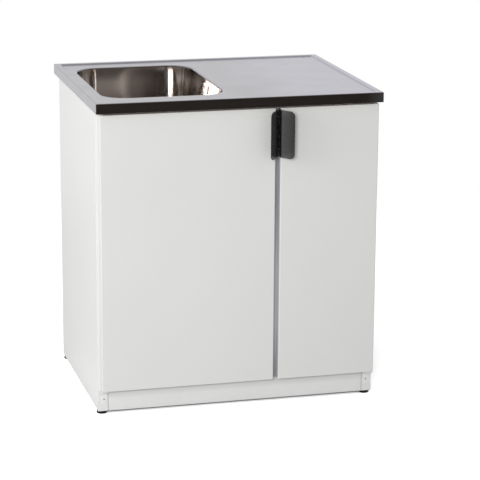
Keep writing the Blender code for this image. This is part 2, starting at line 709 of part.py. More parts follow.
def bottle_trap(plastic, carrier):
    """Tail pipe, trap body, screw-off cup and outlet pipe, held together by slip nuts."""
    place = (bowl_x, bowl_y, 0)
    bore = PIPE_RADIUS - PIPE_WALL
    pipe_top = spigot_bottom + PIPE_OVERLAP
    tail = [(bore, trap_bottom), (PIPE_RADIUS, trap_bottom), (PIPE_RADIUS, pipe_top), (bore, pipe_top)]
    node("tail_pipe", add_turned(bmesh.new(), tail, place), plastic, carrier)
    collar = PIPE_RADIUS + PLAY + PLASTIC_WALL
    neck = PIPE_RADIUS + PLAY
    inner = TRAP_RADIUS - PLASTIC_WALL
    shoulder = trap_top - TRAP_COLLAR
    body = [(collar, trap_top), (collar, shoulder), (TRAP_RADIUS, shoulder - TRAP_SHOULDER),
            (TRAP_RADIUS, trap_bottom), (inner, trap_bottom), (inner, shoulder - TRAP_SHOULDER - PLASTIC_WALL),
            (neck, shoulder - PLASTIC_WALL), (neck, trap_top)]
    trap = node("trap_body", add_turned(bmesh.new(), body, place), plastic, carrier)
    outlet = (bowl_x, bowl_y, outlet_level)
    fuse(trap, add_rod(bmesh.new(), collar, TRAP_RADIUS - PLASTIC_WALL / 2, trap_outlet_reach, outlet, "Y"))
    cut(trap, add_rod(bmesh.new(), neck, PIPE_RADIUS + PLAY, trap_outlet_reach + CUT_MARGIN, outlet, "Y"))
    cup_top = trap_bottom + CUP_OVERLAP
    cup_hole = TRAP_RADIUS + FIT
    cup_wide = cup_hole + PLASTIC_WALL
    cup_floor = cup_top - CUP_LENGTH
    cup = [(0, cup_floor), (cup_wide - PLASTIC_WALL, cup_floor), (cup_wide, cup_floor + PLASTIC_WALL),
           (cup_wide, cup_top), (cup_hole, cup_top), (cup_hole, trap_bottom - FIT), (inner, trap_bottom - FIT),
           (inner, cup_floor + PLASTIC_WALL), (0, cup_floor + PLASTIC_WALL)]
    node("trap_cup", add_turned(bmesh.new(), cup, place), plastic, carrier)
    overlap_end = trap_outlet_reach - PIPE_OVERLAP
    pipe = [(bore, overlap_end), (PIPE_RADIUS, overlap_end), (PIPE_RADIUS, outlet_end - bowl_y),
            (bore, outlet_end - bowl_y)]
    node("outlet_pipe", add_turned(bmesh.new(), pipe, outlet, "Y"), plastic, carrier)
    slip_nut("trap_inlet_nut", plastic, carrier, collar + FIT, trap_top - TRAP_COLLAR + FIT,
             trap_top - TRAP_COLLAR + FIT + NUT_LENGTH, place)
    slip_nut("trap_outlet_nut", plastic, carrier, collar + FIT, trap_outlet_reach - NUT_LENGTH,
             trap_outlet_reach, outlet, "Y")


def pivot_hardware(side, steel, carrier):
    """Two brackets let into the side panel carry fixed pins above and below the door."""
    x = pivot_x(side)
    low, high = bracket_span(side)
    axis = (x, pivot_y, 0)
    upper = node(f"{side}_top_bracket", add_box(bmesh.new(), *top_bracket_box(side, 0)), steel, carrier)
    cut(upper, add_rod(bmesh.new(), PIN_RADIUS + FIT, panel_top - BRACKET_THICKNESS - CUT_MARGIN,
                       panel_top + CUT_MARGIN, axis))
    foot, shelf_top = bottom_bracket_levels()
    shelf_under = shelf_top - BRACKET_THICKNESS
    front = pivot_y - BRACKET_NOSE
    back = carcass_front + BRACKET_THICKNESS
    ell = [(front, shelf_under), (carcass_front, shelf_under), (carcass_front, foot), (back, foot),
           (back, shelf_top), (front, shelf_top)]
    lower = node(f"{side}_bottom_bracket", add_prism(bmesh.new(), ell, low, high, "X"), steel, carrier)
    screw_place = bracket_screw_place(side)
    holes = add_rod(bmesh.new(), PIN_RADIUS + FIT, shelf_under - CUT_MARGIN, shelf_top + CUT_MARGIN, axis)
    cut(lower, add_rod(holes, SCREW_RADIUS + FIT, -CUT_MARGIN, CUT_MARGIN, screw_place, "Y"))
    pin_length = BUSH_LENGTH - PIVOT_GAP
    node(f"{side}_top_pin", add_rod(bmesh.new(), PIN_RADIUS, door_top - pin_length, panel_top - FIT, axis),
         steel, carrier)
    node(f"{side}_bottom_pin", add_rod(bmesh.new(), PIN_RADIUS, shelf_under, DOOR_BOTTOM + pin_length, axis),
         steel, carrier)
    screw = add_screw(bmesh.new(), screw_place, "Y", -1, BRACKET_SCREW_DEPTH)
    node(f"{side}_bracket_screw", screw, steel, carrier)


def door(side, white, plastic, steel, dark, carrier):
    """A lay-on door with round upright edges, its bushes, handle, handle screws and strike plate."""
    outer, inner = (left_outer, left_inner) if side == "left" else (right_outer, right_inner)
    outward = side_sign(side)
    axis = (pivot_x(side), pivot_y, 0)
    outline = rounded_rectangle(*sorted((outer, inner)), door_front, door_back, DOOR_EDGE_RADIUS,
                                DOOR_EDGE_STEPS)
    panel = node(f"{side}_door_panel", add_prism(bmesh.new(), outline, DOOR_BOTTOM, door_top), white, carrier)
    bores = bmesh.new()
    hole = PIN_RADIUS + FIT
    lip = PIVOT_GAP - FIT
    for place, inside, face in (("bottom", DOOR_BOTTOM + BUSH_LENGTH, DOOR_BOTTOM - lip),
                                ("top", door_top - BUSH_LENGTH, door_top + lip)):
        inward = math.copysign(1, inside - face)
        add_rod(bores, bush_radius + FIT, *sorted((inside + inward * FIT, face - inward * CUT_MARGIN)), axis)
        ring = [(hole, inside), (bush_radius, inside), (bush_radius, face), (hole, face)]
        node(f"{side}_{place}_bush", add_turned(bmesh.new(), ring, axis, "Z", PIN_STEPS), plastic, carrier)
    leg_holes = bmesh.new()
    middle = (handle_top + handle_bottom) / 2
    leg_face = inner - outward * (FIT + HANDLE_THICKNESS)
    bore_end = outward * (HANDLE_SCREW_DEPTH + FIT)
    for place, level in (("upper", middle + HANDLE_SCREW_SPREAD), ("lower", middle - HANDLE_SCREW_SPREAD)):
        spot = (leg_face, pivot_y, level)
        screw = add_screw(bmesh.new(), spot, "X", -outward, HANDLE_SCREW_DEPTH)
        node(f"{side}_handle_screw_{place}", screw, steel, carrier)
        add_rod(bores, SCREW_RADIUS + FIT, *sorted((0, bore_end)), spot, "X")
        add_rod(leg_holes, SCREW_RADIUS + FIT, *sorted((-outward * CUT_MARGIN, bore_end)), spot, "X")
    cut(panel, bores)
    cut(node(f"{side}_handle", handle_shape(inner, outward), dark, carrier), leg_holes)
    low, high = catch_span(side)
    foot = base_top + CATCH_RISE
    crest = foot + CATCH_HEIGHT
    strike_face = door_back + FIT
    strike = add_box(bmesh.new(), (low + STRIKE_MARGIN, strike_face, foot + STRIKE_MARGIN),
                     (high - STRIKE_MARGIN, strike_face + STRIKE_THICKNESS, crest - STRIKE_MARGIN))
    node(f"{side}_strike_plate", strike, steel, carrier)


def handle_shape(edge, outward):
    """A bent plate: a leg on the door's edge runs forward, bends and leans out over the door's front."""
    leg_x = edge - outward * (FIT + HANDLE_THICKNESS / 2)
    path = [(0.0, door_back - HANDLE_SETBACK - door_front, 0.0), (0.0, -HANDLE_LEG, 0.0)]
    for k in range(1, HANDLE_STEPS + 1):
        angle = HANDLE_FLARE * k / HANDLE_STEPS
        path.append((HANDLE_BEND_RADIUS * (1 - math.cos(angle)),
                     -HANDLE_LEG - HANDLE_BEND_RADIUS * math.sin(angle), angle))
    side_end, forward_end, _ = path[-1]
    corner = min(HANDLE_CORNER, HANDLE_WING)
    drops = [0.0] * len(path)
    for k in range(HANDLE_STEPS + 1):
        turn = math.pi / 2 * k / HANDLE_STEPS
        travel = HANDLE_WING - corner + corner * math.sin(turn)
        path.append((side_end + travel * math.sin(HANDLE_FLARE), forward_end - travel * math.cos(HANDLE_FLARE),
                     HANDLE_FLARE))
        drops.append(corner * (1 - math.cos(turn)))
    sections = []
    for (sideways, depth, angle), drop in zip(path, drops):
        normal = Vector((outward * math.cos(angle), math.sin(angle), 0)) * HANDLE_THICKNESS / 2
        middle = Vector((leg_x + outward * sideways, door_front + depth, 0))
        low, high = Vector((0, 0, handle_bottom + drop)), Vector((0, 0, handle_top - drop))
        sections.append([middle + normal + low, middle + normal + high, middle - normal + high,
                         middle - normal + low])
    return add_loft(bmesh.new(), sections)


def catch_span(side):
    """Low and high x of the magnet block on that side of the partition."""
    face = partition_left if side == "left" else partition_right
    return sorted((face + side_sign(side) * FIT, face + side_sign(side) * (FIT + CATCH_WIDTH)))


def door_catch(side, dark, carrier):
    """A magnet block on one face of the partition, just above the base panel."""
    low, high = catch_span(side)
    foot = base_top + CATCH_RISE
    block = add_box(bmesh.new(), (low, carcass_front, foot),
                    (high, carcass_front + CATCH_DEPTH, foot + CATCH_HEIGHT), BOARD_BEVEL)
    node(f"{side}_catch", block, dark, carrier)


def levelling_foot(name, x, y, finish, carrier):
    """A round pad with its stud, turned to raise or lower one corner."""
    crown = FOOT_PAD_RADIUS - FOOT_PAD_TAPER
    top = FOOT_HEIGHT + FOOT_STUD_REACH
    pad_top = FOOT_HEIGHT - FOOT_NECK
    profile = [(0, 0), (crown, 0), (FOOT_PAD_RADIUS, FOOT_PAD_TAPER), (crown, pad_top),
               (FOOT_STUD_RADIUS, pad_top), (FOOT_STUD_RADIUS, top), (0, top)]
    node(name, add_turned(bmesh.new(), profile, (x, y, 0), "Z", FOOT_STEPS), finish, carrier)


def build():
    clear_scene()
    white = material("white_laminate", "#e6e7e7", 0.38)
    white_door = material("white_door", "#e3e3e1", 0.35)
    board = material("chipboard", "#b79b74", 0.85)
    hardboard = material("white_hardboard", "#dddcd8", 0.6)
    steel = material("stainless_steel", "#bfbec4", 0.28, 1.0)
    zinc = material("zinc_plated_steel", "#a9abad", 0.4, 1.0)
    black_edge = material("black_edging", "#26221f", 0.35)
    dark_plastic = material("dark_plastic", "#2b2b2a", 0.4)
    plastic = material("white_plastic", "#e9e9e6", 0.45)
    rubber = material("black_rubber", "#1c1c1c", 0.8)

    unit = pivot("unit", (0, 0, 0))
    for side in ("left", "right"):
        side_panel(side, white, unit)
        pivot_hardware(side, zinc, unit)
        door_catch(side, dark_plastic, unit)
        hinge = pivot(f"{side}_door_axis", (pivot_x(side), pivot_y, DOOR_BOTTOM))
        door(side, white_door, plastic, zinc, dark_plastic, hinge)
    inner_boards(white, hardboard, unit)
    worktop_core(board, unit)
    steel_top(steel, unit)
    front_edge_strip(black_edge, unit)
    sink_bowl(steel, unit)
    overflow(steel, plastic, unit)
    waste_fitting(steel, rubber, plastic, unit)
    bottle_trap(plastic, unit)
    basket_strainer(steel, pivot("strainer_axis", (bowl_x, bowl_y, bowl_floor)))
    for name, x, y in foot_places():
        levelling_foot(name, x, y, rubber, pivot(f"{name}_axis", (x, y, 0)))


build()
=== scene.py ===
import math
from functools import partial

import bmesh
import bpy
from mathutils import Matrix, Vector


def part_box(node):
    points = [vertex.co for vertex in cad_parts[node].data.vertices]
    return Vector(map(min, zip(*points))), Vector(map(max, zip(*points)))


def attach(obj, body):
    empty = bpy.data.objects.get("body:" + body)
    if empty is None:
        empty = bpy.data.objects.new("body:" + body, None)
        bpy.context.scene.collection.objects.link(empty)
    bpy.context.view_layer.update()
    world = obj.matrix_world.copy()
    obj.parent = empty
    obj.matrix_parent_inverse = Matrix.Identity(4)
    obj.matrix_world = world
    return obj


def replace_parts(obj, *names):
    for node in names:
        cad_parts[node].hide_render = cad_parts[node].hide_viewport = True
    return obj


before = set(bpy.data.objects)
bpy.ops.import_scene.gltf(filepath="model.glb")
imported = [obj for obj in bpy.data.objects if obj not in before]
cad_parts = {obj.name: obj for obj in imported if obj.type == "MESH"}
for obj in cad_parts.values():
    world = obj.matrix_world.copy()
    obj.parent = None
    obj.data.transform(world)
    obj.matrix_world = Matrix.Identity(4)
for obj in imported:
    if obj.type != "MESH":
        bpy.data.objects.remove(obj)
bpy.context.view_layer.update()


# Cabinet boards: side panels, base, plinth, rails, partition, shelf and the two cleats under it.
# Chipboard faced with white melamine, front edges taped with plastic band, doweled and glued together.
# They are flat sawn boards, so the CAD boards show and take only their finish here.
BOARDS = ("side_panel_left", "side_panel_right", "base_panel", "plinth_board", "front_rail", "rear_rail",
          "centre_partition", "shelf", "left_shelf_cleat", "right_shelf_cleat")
MELAMINE = "#EDEDEC"
MELAMINE_COOL = "#E8E8E7"
# The grey below darkens the boards' foot and the tape's hair line, and is also the colour of the painted
# shadow below the doors.
MELAMINE_GREY_AND_SHADE = "#B9B8B4"
# The three colours below are painted shade on the partition's front edge in the gap between the doors: grey,
# darker at the foot, and the handles' painted shadow.
GAP_SHADE_GREY = "#BFBFC7"
GAP_SHADE_FOOT = "#99999E"
GAP_HANDLE_SHADOW = "#A0A0AA"
JOINT_GREY = "#B0B0AD"
BAND_THICKNESS = 0.001
SEAM_WIDTH = 0.0008
JOINT_WIDTH = 0.0015
# A hair's breadth keeps a mark or a hidden edge clear of what it meets.
HAIR = 0.0002
# What a node of a kind does when nothing else is said.
USUAL = {"Mix": {"data_type": "RGBA"}, "Math": {"operation": "MULTIPLY"}}


def linear(hex_colour):
    """Turn an sRGB hex colour into linear red, green, blue and alpha."""
    channels = [int(hex_colour[k:k + 2], 16) / 255 for k in (1, 3, 5)]
    return (*[c / 12.92 if c <= 0.04045 else ((c + 0.055) / 1.055) ** 2.4 for c in channels], 1.0)


def fill(node, sockets):
    """Fill a node's sockets with values, hex colours, or links from other nodes and their sockets."""
    for key, value in sockets.items():
        if isinstance(value, bpy.types.Node):
            value = next(out for out in value.outputs if out.enabled)
        if isinstance(value, bpy.types.NodeSocket):
            node.id_data.links.new(value, node.inputs[key])
        else:
            node.inputs[key].default_value = linear(value) if isinstance(value, str) else value


def add_node(tree, kind, sockets=None, **settings):
    """Add a shader node, set its options, or the usual ones of its kind, and fill its sockets.

    A Mix takes its share at 0 and then two colours at 6 and 7, or two numbers at 2 and 3.
    """
    node = tree.nodes.new("ShaderNode" + kind)
    for name, value in {**USUAL.get(kind, {}), **settings}.items():
        setattr(node, name, value)
    fill(node, sockets or {})
    return node


def new_finish(name):
    """Start a material: itself, its adder of nodes, its surface shader and the place on it in metres."""
    made = bpy.data.materials.new(name)
    made.use_nodes = True
    add = partial(add_node, made.node_tree)
    return made, add, made.node_tree.nodes["Principled BSDF"], add("TexCoord").outputs["Object"]


def coat(surface, colour, matt, relief, ior=1.5):
    """Close a finish: its colour, the range its roughness takes from a pattern, and a raised pattern."""
    add = partial(add_node, surface.id_data)
    gloss = add("MapRange", {"Value": matt[0], "To Min": matt[1], "To Max": matt[2]})
    bump = add("Bump", {"Height": relief[0], "Strength": relief[1], "Distance": relief[2]})
    fill(surface, {"Base Color": colour, "Roughness": gloss, "Normal": bump, "IOR": ior})


def dress(finish, *nodes):
    """Put a finish on CAD nodes that stay in view."""
    for node in nodes:
        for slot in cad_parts[node].material_slots:
            slot.material = finish


# White melamine: resin-soaked paper pressed on with a fine pearl grain. Bright, satin, almost even; the
# taped edge shows as a hair line, the plinth's ends as a thin joint. The boards are darker towards their
# foot, in streaks. A painted shadow of the doors darkens the boards just below the doors' foot, from the
# plinth's left end rightwards. The partition's front edge, seen in the gap between the doors, is painted
# grey as shade, darker at its foot and with the handles' painted shadow higher up. The pearl grain is
# about 0.7 mm and is drawn at 2.5 mm so that it shows.
PEARL_GRAIN = 0.0025
TONE_PATCH = 0.30
GREY_STREAK = 0.02
MARK_SHARE = 0.22
FOOT_GREY_TOP, FOOT_GREY_FULL = 0.050, 0.008
DOOR_SHADOW_DEPTH, DOOR_SHADOW_SHARE = 0.028, 0.60
DOOR_LAP = 0.001
FOOT_SHADE_FULL, FOOT_SHADE_END = 0.07, 0.22
HANDLE_SHADOW_FROM, HANDLE_SHADOW_FULL = 0.38, 0.58
white_melamine, add, surface, place = new_finish("white_melamine")
axes = add("SeparateXYZ", {"Vector": place}).outputs
patch = add("TexNoise", {"Vector": place, "Scale": 1 / TONE_PATCH, "Detail": 3.0})
tone = add("Mix", {0: patch, 6: MELAMINE, 7: MELAMINE_COOL})
band_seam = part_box("side_panel_left")[0].y + BAND_THICKNESS
seam = add("Math", {0: axes["Y"], 1: band_seam, 2: SEAM_WIDTH / 2}, operation="COMPARE")
# The boards are darker towards their foot, in streaks.
foot = add("MapRange", {"Value": axes["Z"], "From Min": FOOT_GREY_TOP, "From Max": FOOT_GREY_FULL})
streak = add("TexNoise", {"Vector": place, "Scale": 1 / GREY_STREAK, "Detail": 4.0})
foot_grey = add("Math", {0: foot, 1: streak})
marks = add("Math", {0: seam, 1: foot_grey}, operation="MAXIMUM")
share = add("Math", {0: marks, 1: MARK_SHARE})
board_marked = add("Mix", {0: share, 6: tone, 7: MELAMINE_GREY_AND_SHADE})
partition_low, partition_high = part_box("centre_partition")
# Painted shade: the partition's front edge, seen in the gap between the doors, is grey, darker at its foot
# and with the handles' painted shadow higher up.
at_front = add("Math", {0: axes["Y"], 1: partition_low.y, 2: BAND_THICKNESS}, operation="COMPARE")
in_partition = add("Math", {0: axes["X"], 1: (partition_low.x + partition_high.x) / 2,
                            2: (partition_high.x - partition_low.x) / 2 - HAIR}, operation="COMPARE")
door_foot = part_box("left_door_panel")[0].z
over_base = add("Math", {0: axes["Z"], 1: door_foot - DOOR_LAP}, operation="GREATER_THAN")
gap_edge = add("Math", {0: in_partition, 1: over_base})
gap_edge = add("Math", {0: gap_edge, 1: at_front})
above_foot = add("MapRange", {"Value": axes["Z"], "From Min": FOOT_SHADE_FULL, "From Max": FOOT_SHADE_END})
gap_shade = add("Mix", {0: above_foot, 6: GAP_SHADE_FOOT, 7: GAP_SHADE_GREY})
handle_shadow = add("MapRange", {"Value": axes["Z"], "From Min": HANDLE_SHADOW_FROM, "From Max": HANDLE_SHADOW_FULL})
gap_shade = add("Mix", {0: handle_shadow, 6: gap_shade, 7: GAP_HANDLE_SHADOW})
with_gap_shade = add("Mix", {0: gap_edge, 6: board_marked, 7: gap_shade})
plinth_low, plinth_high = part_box("plinth_board")
from_middle = add("Math", {0: axes["X"]}, operation="ABSOLUTE")
joint = add("Math", {0: from_middle, 1: plinth_high.x, 2: JOINT_WIDTH / 2}, operation="COMPARE")
in_plinth = add("Math", {0: axes["Z"], 1: plinth_high.z}, operation="LESS_THAN")
joint = add("Math", {0: joint, 1: in_plinth})
jointed = add("Mix", {0: joint, 6: with_gap_shade, 7: JOINT_GREY})
# Painted shadow of the doors: the boards just below the doors' foot, right of the plinth's left end, are
# darkened.
door_shadow = add("MapRange", {"Value": axes["Z"], "From Min": door_foot - DOOR_SHADOW_DEPTH, "From Max": door_foot,
                        "To Max": DOOR_SHADOW_SHARE})
under_door = add("Math", {0: axes["Z"], 1: door_foot + DOOR_LAP}, operation="LESS_THAN")
door_shadow = add("Math", {0: door_shadow, 1: under_door})
on_plinth = add("Math", {0: axes["X"], 1: plinth_low.x}, operation="GREATER_THAN")
door_shadow = add("Math", {0: door_shadow, 1: on_plinth})
colour = add("Mix", {0: door_shadow, 6: jointed, 7: MELAMINE_GREY_AND_SHADE})
grain = add("TexNoise", {"Vector": place, "Scale": 1 / PEARL_GRAIN, "Detail": 2.0})
coat(surface, colour, matt=(streak, 0.34, 0.46), relief=(grain, 0.10, 0.0003))
dress(white_melamine, *BOARDS)


# Back panel: a hardboard sheet between the side panels, flush with their back edges and ending below the
# outlet pipe. It is painted white inside and left brown at the rear, where its screen side carries the
# mark of the wire mesh it was pressed on.
PAINT_WHITE = "#E0E0DC"
FIBRE_BROWN = "#8B6848"
FIBRE_DARK = "#6E4F35"
FIBRE = 0.004
SCREEN_PITCH = 0.006
back_low, back_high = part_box("back_panel")

# Painted hardboard: matt paint on the room side, bare fibre behind. The mesh mark has a pitch of
# about 1.5 mm and is drawn at 6 mm so that it shows.
painted_hardboard, add, surface, place = new_finish("painted_hardboard")
axes = add("SeparateXYZ", {"Vector": place}).outputs
fibre = add("TexNoise", {"Vector": place, "Scale": 1 / FIBRE, "Detail": 6.0, "Roughness": 0.7})
brown = add("Mix", {0: fibre, 6: FIBRE_BROWN, 7: FIBRE_DARK})
rear = add("Math", {0: axes["Y"], 1: (back_low.y + back_high.y) / 2}, operation="GREATER_THAN")
colour = add("Mix", {0: rear, 6: PAINT_WHITE, 7: brown})
across = add("Math", {0: axes["X"], 1: 2 * math.pi / SCREEN_PITCH})
up = add("Math", {0: axes["Z"], 1: 2 * math.pi / SCREEN_PITCH})
weft = add("Math", {0: across}, operation="SINE")
warp = add("Math", {0: up}, operation="SINE")
mesh_mark = add("Math", {0: weft, 1: warp})
raised = add("Math", {0: mesh_mark, 1: rear})
coat(surface, colour, matt=(fibre, 0.55, 0.8), relief=(raised, 0.3, 0.0006))
dress(painted_hardboard, "back_panel")


# Worktop core: a sawn chipboard that stiffens the steel top, cut out for the bowl and the overflow.
# It is glued up under the steel and shows only from below.
CHIP_LIGHT = "#B9AB98"
CHIP_DARK = "#857768"
CHIP = 0.006

# Chipboard: pressed wood flakes a few millimetres long, dry and matt, each flake its own tone.
chipboard, add, surface, place = new_finish("chipboard")
flake = add("TexVoronoi", {"Vector": place, "Scale": 1 / CHIP, "Randomness": 1.0})
tone = add("SeparateXYZ", {"Vector": flake.outputs["Color"]}).outputs["X"]
colour = add("Mix", {0: tone, 6: CHIP_LIGHT, 7: CHIP_DARK})
coat(surface, colour, matt=(tone, 0.75, 0.95), relief=(flake, 0.4, 0.001))
dress(chipboard, "worktop_core")


# Sink top: one stainless sheet folded down at the ends and the back, pressed with a raised rim and a
# lower field; the drawn bowl is welded in from below and the joint polished over.
# It stands for the CAD's folded top and bowl as one smooth pressing.
top_low, top_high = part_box("steel_top")
drawn_low, drawn_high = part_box("sink_bowl")
STEEL = "#A0A0A8"
STEEL_WARM = "#9C9BA0"
STEEL_UNWORN = "#A8A7B2"
DRAWN_STEEL = "#AAA4A0"
DRAWN_STEEL_DARK = "#827C78"
SHEET = 0.001
EDGE_ROUND = 0.002
FOLD_CORNER = 0.0025
NOSE = 0.0017
STRIP_THICKNESS = 0.0025
RIM_INNER = 0.0155
RIM_STEP = 0.005
RIM_HEIGHT = 0.003
RIM_CORNER = 0.005
BOWL_FLANGE = 0.010
BOWL_CORNER = 0.070
BOWL_LIP = 0.0043
LIP_START = -0.0013
BOWL_DRAFT = 0.014
BOTTOM_RADIUS = 0.035
BOWL_FALL = 0.004
DRAIN_RADIUS = 0.036
DRAIN_SEAT = 0.045
CORNER_STEPS = 12
SIDE_STEPS = 10
NEAR_CORNER = 0.0015
NEAR_EDGE = 0.001
NEAR_FIELD = 0.0015
EDGE_STEPS, RIM_STEPS, LIP_STEPS, WALL_STEPS, BOTTOM_STEPS, FLOOR_STEPS = 4, 8, 6, 5, 10, 6
CREASE = math.radians(38)

field = top_high.z - RIM_HEIGHT
bowl_left, bowl_right = drawn_low.x + BOWL_FLANGE, drawn_high.x - BOWL_FLANGE
bowl_front, bowl_back = drawn_low.y + BOWL_FLANGE, drawn_high.y - BOWL_FLANGE
bowl_centre = Vector(((bowl_left + bowl_right) / 2, (bowl_front + bowl_back) / 2, 0))
bowl_floor = drawn_low.z + SHEET
wall_top = field - BOWL_LIP
wall_bottom = bowl_floor + BOWL_FALL + BOTTOM_RADIUS
wall_slope = math.atan2(BOWL_DRAFT - LIP_START - BOWL_LIP, wall_top - wall_bottom)


def rounded_ring(left, right, front, back, radii):
    """A rectangle with round corners from above, with the same count of points for every size."""
    spots = ((right, front, -1, 1), (right, back, -1, -1), (left, back, 1, -1), (left, front, 1, 1))
    arcs = []
    for quarter, ((x, y, inward_x, inward_y), radius) in enumerate(zip(spots, radii)):
        centre = Vector((x + inward_x * radius, y + inward_y * radius))
        turns = [math.pi / 2 * (quarter - 1 + step / CORNER_STEPS) for step in range(CORNER_STEPS + 1)]
        arcs.append([centre + radius * Vector((math.cos(turn), math.sin(turn))) for turn in turns])
    shares = [NEAR_CORNER] + [step / SIDE_STEPS for step in range(1, SIDE_STEPS)] + [1 - NEAR_CORNER]
    ring = []
    for arc, following in zip(arcs, arcs[1:] + arcs[:1]):
        ring += arc + [arc[-1].lerp(following[0], share) for share in shares]
    return ring


def loft(rings, closed=True):
    """Skin a row of like rings of points; a closed one gets a face on its first and its last ring."""
    bm = bmesh.new()
    rows = [[bm.verts.new(point) for point in ring] for ring in rings]
    count = len(rows[0])
    for row, following in zip(rows, rows[1:]):
        for k in range(count):
            after = (k + 1) % count
            bm.faces.new((row[k], row[after], following[after], following[k]))
    if closed:
        bm.faces.new(reversed(rows[0]))
        bm.faces.new(rows[-1])
    return bm


def shade(made):
    """Smooth the faces, keep real corners sharp and let the large flat faces rule the shading."""
    made.data.shade_smooth()
    made.data.set_sharp_from_angle(angle=CREASE)
    made.modifiers.new("flat faces first", "WEIGHTED_NORMAL").keep_sharp = True
    return made


def piece(name, bm, finish, face_out=True):
    """Turn a bmesh in the row frame into a shaded object with one finish."""
    if face_out:
        bmesh.ops.recalc_face_normals(bm, faces=bm.faces[:])
    mesh = bpy.data.meshes.new(name)
    bm.to_mesh(mesh)
    bm.free()
    mesh.materials.append(finish)
    made = bpy.data.objects.new(name, mesh)
    bpy.context.scene.collection.objects.link(made)
    return shade(made)


def settle(made):
    """Turn a piece's modifiers into its mesh, and shade the result anew."""
    made.modifiers.remove(made.modifiers["flat faces first"])
    seen = made.evaluated_get(bpy.context.evaluated_depsgraph_get())
    old = made.data
    made.data = bpy.data.meshes.new_from_object(seen)
    made.data.name = made.name
    made.modifiers.clear()
    bpy.data.meshes.remove(old)
    return shade(made)


def carve(made, cutter, operation="DIFFERENCE"):
    """Cut a closed shape out of a piece, or join one to it."""
    tool = piece("cutter", cutter, made.data.materials[0])
    cut = made.modifiers.new("cut", "BOOLEAN")
    cut.operation, cut.object, cut.solver = operation, tool, "EXACT"
    settle(made)
    bpy.data.objects.remove(tool)
    return made


# Satin stainless steel: ground along the sheet, then drawn and polished in the bowl. Grey with a
# cool cast on the flat, warmer and more like a mirror in the bowl, where the draw leaves the upper
# wall darker. The front corner beside the drainer is scoured matt. The grind is about 0.2 mm and is
# drawn at 1.5 mm so that it shows.
GRIND = 0.0015
GRIND_LENGTH = 0.12
CLOUD = 0.09
WAVE = 0.16
BOWL_MARGIN = 0.01
DRAWN_FROM, DRAWN_FULL = 0.0005, 0.004
POLISH_FROM, POLISH_FULL = 0.010, 0.050
DRAINER_FROM, DRAINER_FULL = 0.05, 0.22
SCOUR_IN, SCOUR_DROP = 0.02, 0.06
SCOUR_REACH, SCOUR_FULL, SCOUR_MATT = 0.11, 0.06, 0.75
satin_steel, add, surface, place = new_finish("satin_stainless_steel")
axes = add("SeparateXYZ", {"Vector": place}).outputs
in_width = add("Math", {0: axes["X"], 1: bowl_centre.x, 2: bowl_right - bowl_centre.x + BOWL_MARGIN},
               operation="COMPARE")
in_depth = add("Math", {0: axes["Y"], 1: bowl_centre.y, 2: bowl_back - bowl_centre.y + BOWL_MARGIN},
               operation="COMPARE")
in_plan = add("Math", {0: in_width, 1: in_depth})
below = add("MapRange", {"Value": axes["Z"], "From Min": field - DRAWN_FROM, "From Max": field - DRAWN_FULL})
drawn = add("Math", {0: in_plan, 1: below})
stretch = add("Mapping", {"Vector": place, "Scale": (1 / GRIND_LENGTH, 1 / GRIND, 1 / GRIND)})
grind = add("TexNoise", {"Vector": stretch, "Scale": 1.0, "Detail": 3.0})
cloud = add("TexNoise", {"Vector": place, "Scale": 1 / CLOUD, "Detail": 3.0})
wave = add("TexNoise", {"Vector": place, "Scale": 1 / WAVE, "Detail": 1.0})
flat_tone = add("Mix", {0: cloud, 6: STEEL, 7: STEEL_WARM})
drainer = add("MapRange", {"Value": axes["X"], "From Min": DRAINER_FROM, "From Max": DRAINER_FULL})
flat_tone = add("Mix", {0: drainer, 6: flat_tone, 7: STEEL_UNWORN})
polish = add("MapRange", {"Value": axes["Z"], "From Min": field - POLISH_FROM,
                          "From Max": field - POLISH_FULL}, interpolation_type="SMOOTHSTEP")
bowl_tone = add("Mix", {0: polish, 6: DRAWN_STEEL_DARK, 7: DRAWN_STEEL})
scour_spot = (bowl_right - SCOUR_IN, bowl_front + SCOUR_IN, field - SCOUR_DROP)
scoured = add("VectorMath", {0: place, 1: scour_spot}, operation="DISTANCE")
scour = add("MapRange", {"Value": scoured, "From Min": SCOUR_REACH, "From Max": SCOUR_FULL})
bowl_tone = add("Mix", {0: scour, 6: bowl_tone, 7: DRAWN_STEEL_DARK})
colour = add("Mix", {0: drawn, 6: flat_tone, 7: bowl_tone})
mixed = add("Math", {0: grind, 1: cloud}, operation="ADD")
flat_gloss = add("MapRange", {"Value": mixed, "From Max": 2.0, "To Min": 0.14, "To Max": 0.30})
bowl_gloss = add("MapRange", {"Value": cloud, "To Min": 0.06, "To Max": 0.13})
matt = add("Math", {0: scour, 1: SCOUR_MATT})
bowl_gloss = add("Math", {0: bowl_gloss, 1: matt}, operation="MAXIMUM")
gloss = add("Mix", {0: drawn, 2: flat_gloss, 3: bowl_gloss}, data_type="FLOAT")
ripple = add("Bump", {"Height": wave, "Strength": 0.25, "Distance": 0.0010})
scratch = add("MapRange", {"Value": drawn, "To Min": 0.06, "To Max": 0.0})
bump = add("Bump", {"Height": grind, "Strength": scratch, "Distance": 0.0001, "Normal": ripple})
fill(surface, {"Base Color": colour, "Roughness": gloss, "Normal": bump, "Metallic": 1.0})


def top_ring(inset, level, corner, front_level=None):
    """A ring of the folded top; its front, behind the strip, can lie at a level of its own."""
    ring = rounded_ring(top_low.x + inset, top_high.x - inset, top_low.y + inset, top_high.y - inset,
                        (corner,) * 4)
    hidden = top_low.y + STRIP_THICKNESS + HAIR
    return [Vector((x, y, front_level if front_level and y < hidden else level)) for x, y in ring]


def bowl_ring(inset, level):
    """A ring of the bowl, drawn in from its opening."""
    ring = rounded_ring(bowl_left + inset, bowl_right - inset, bowl_front + inset, bowl_back - inset,
                        (BOWL_CORNER - inset,) * 4)
    return [Vector((x, y, level)) for x, y in ring]


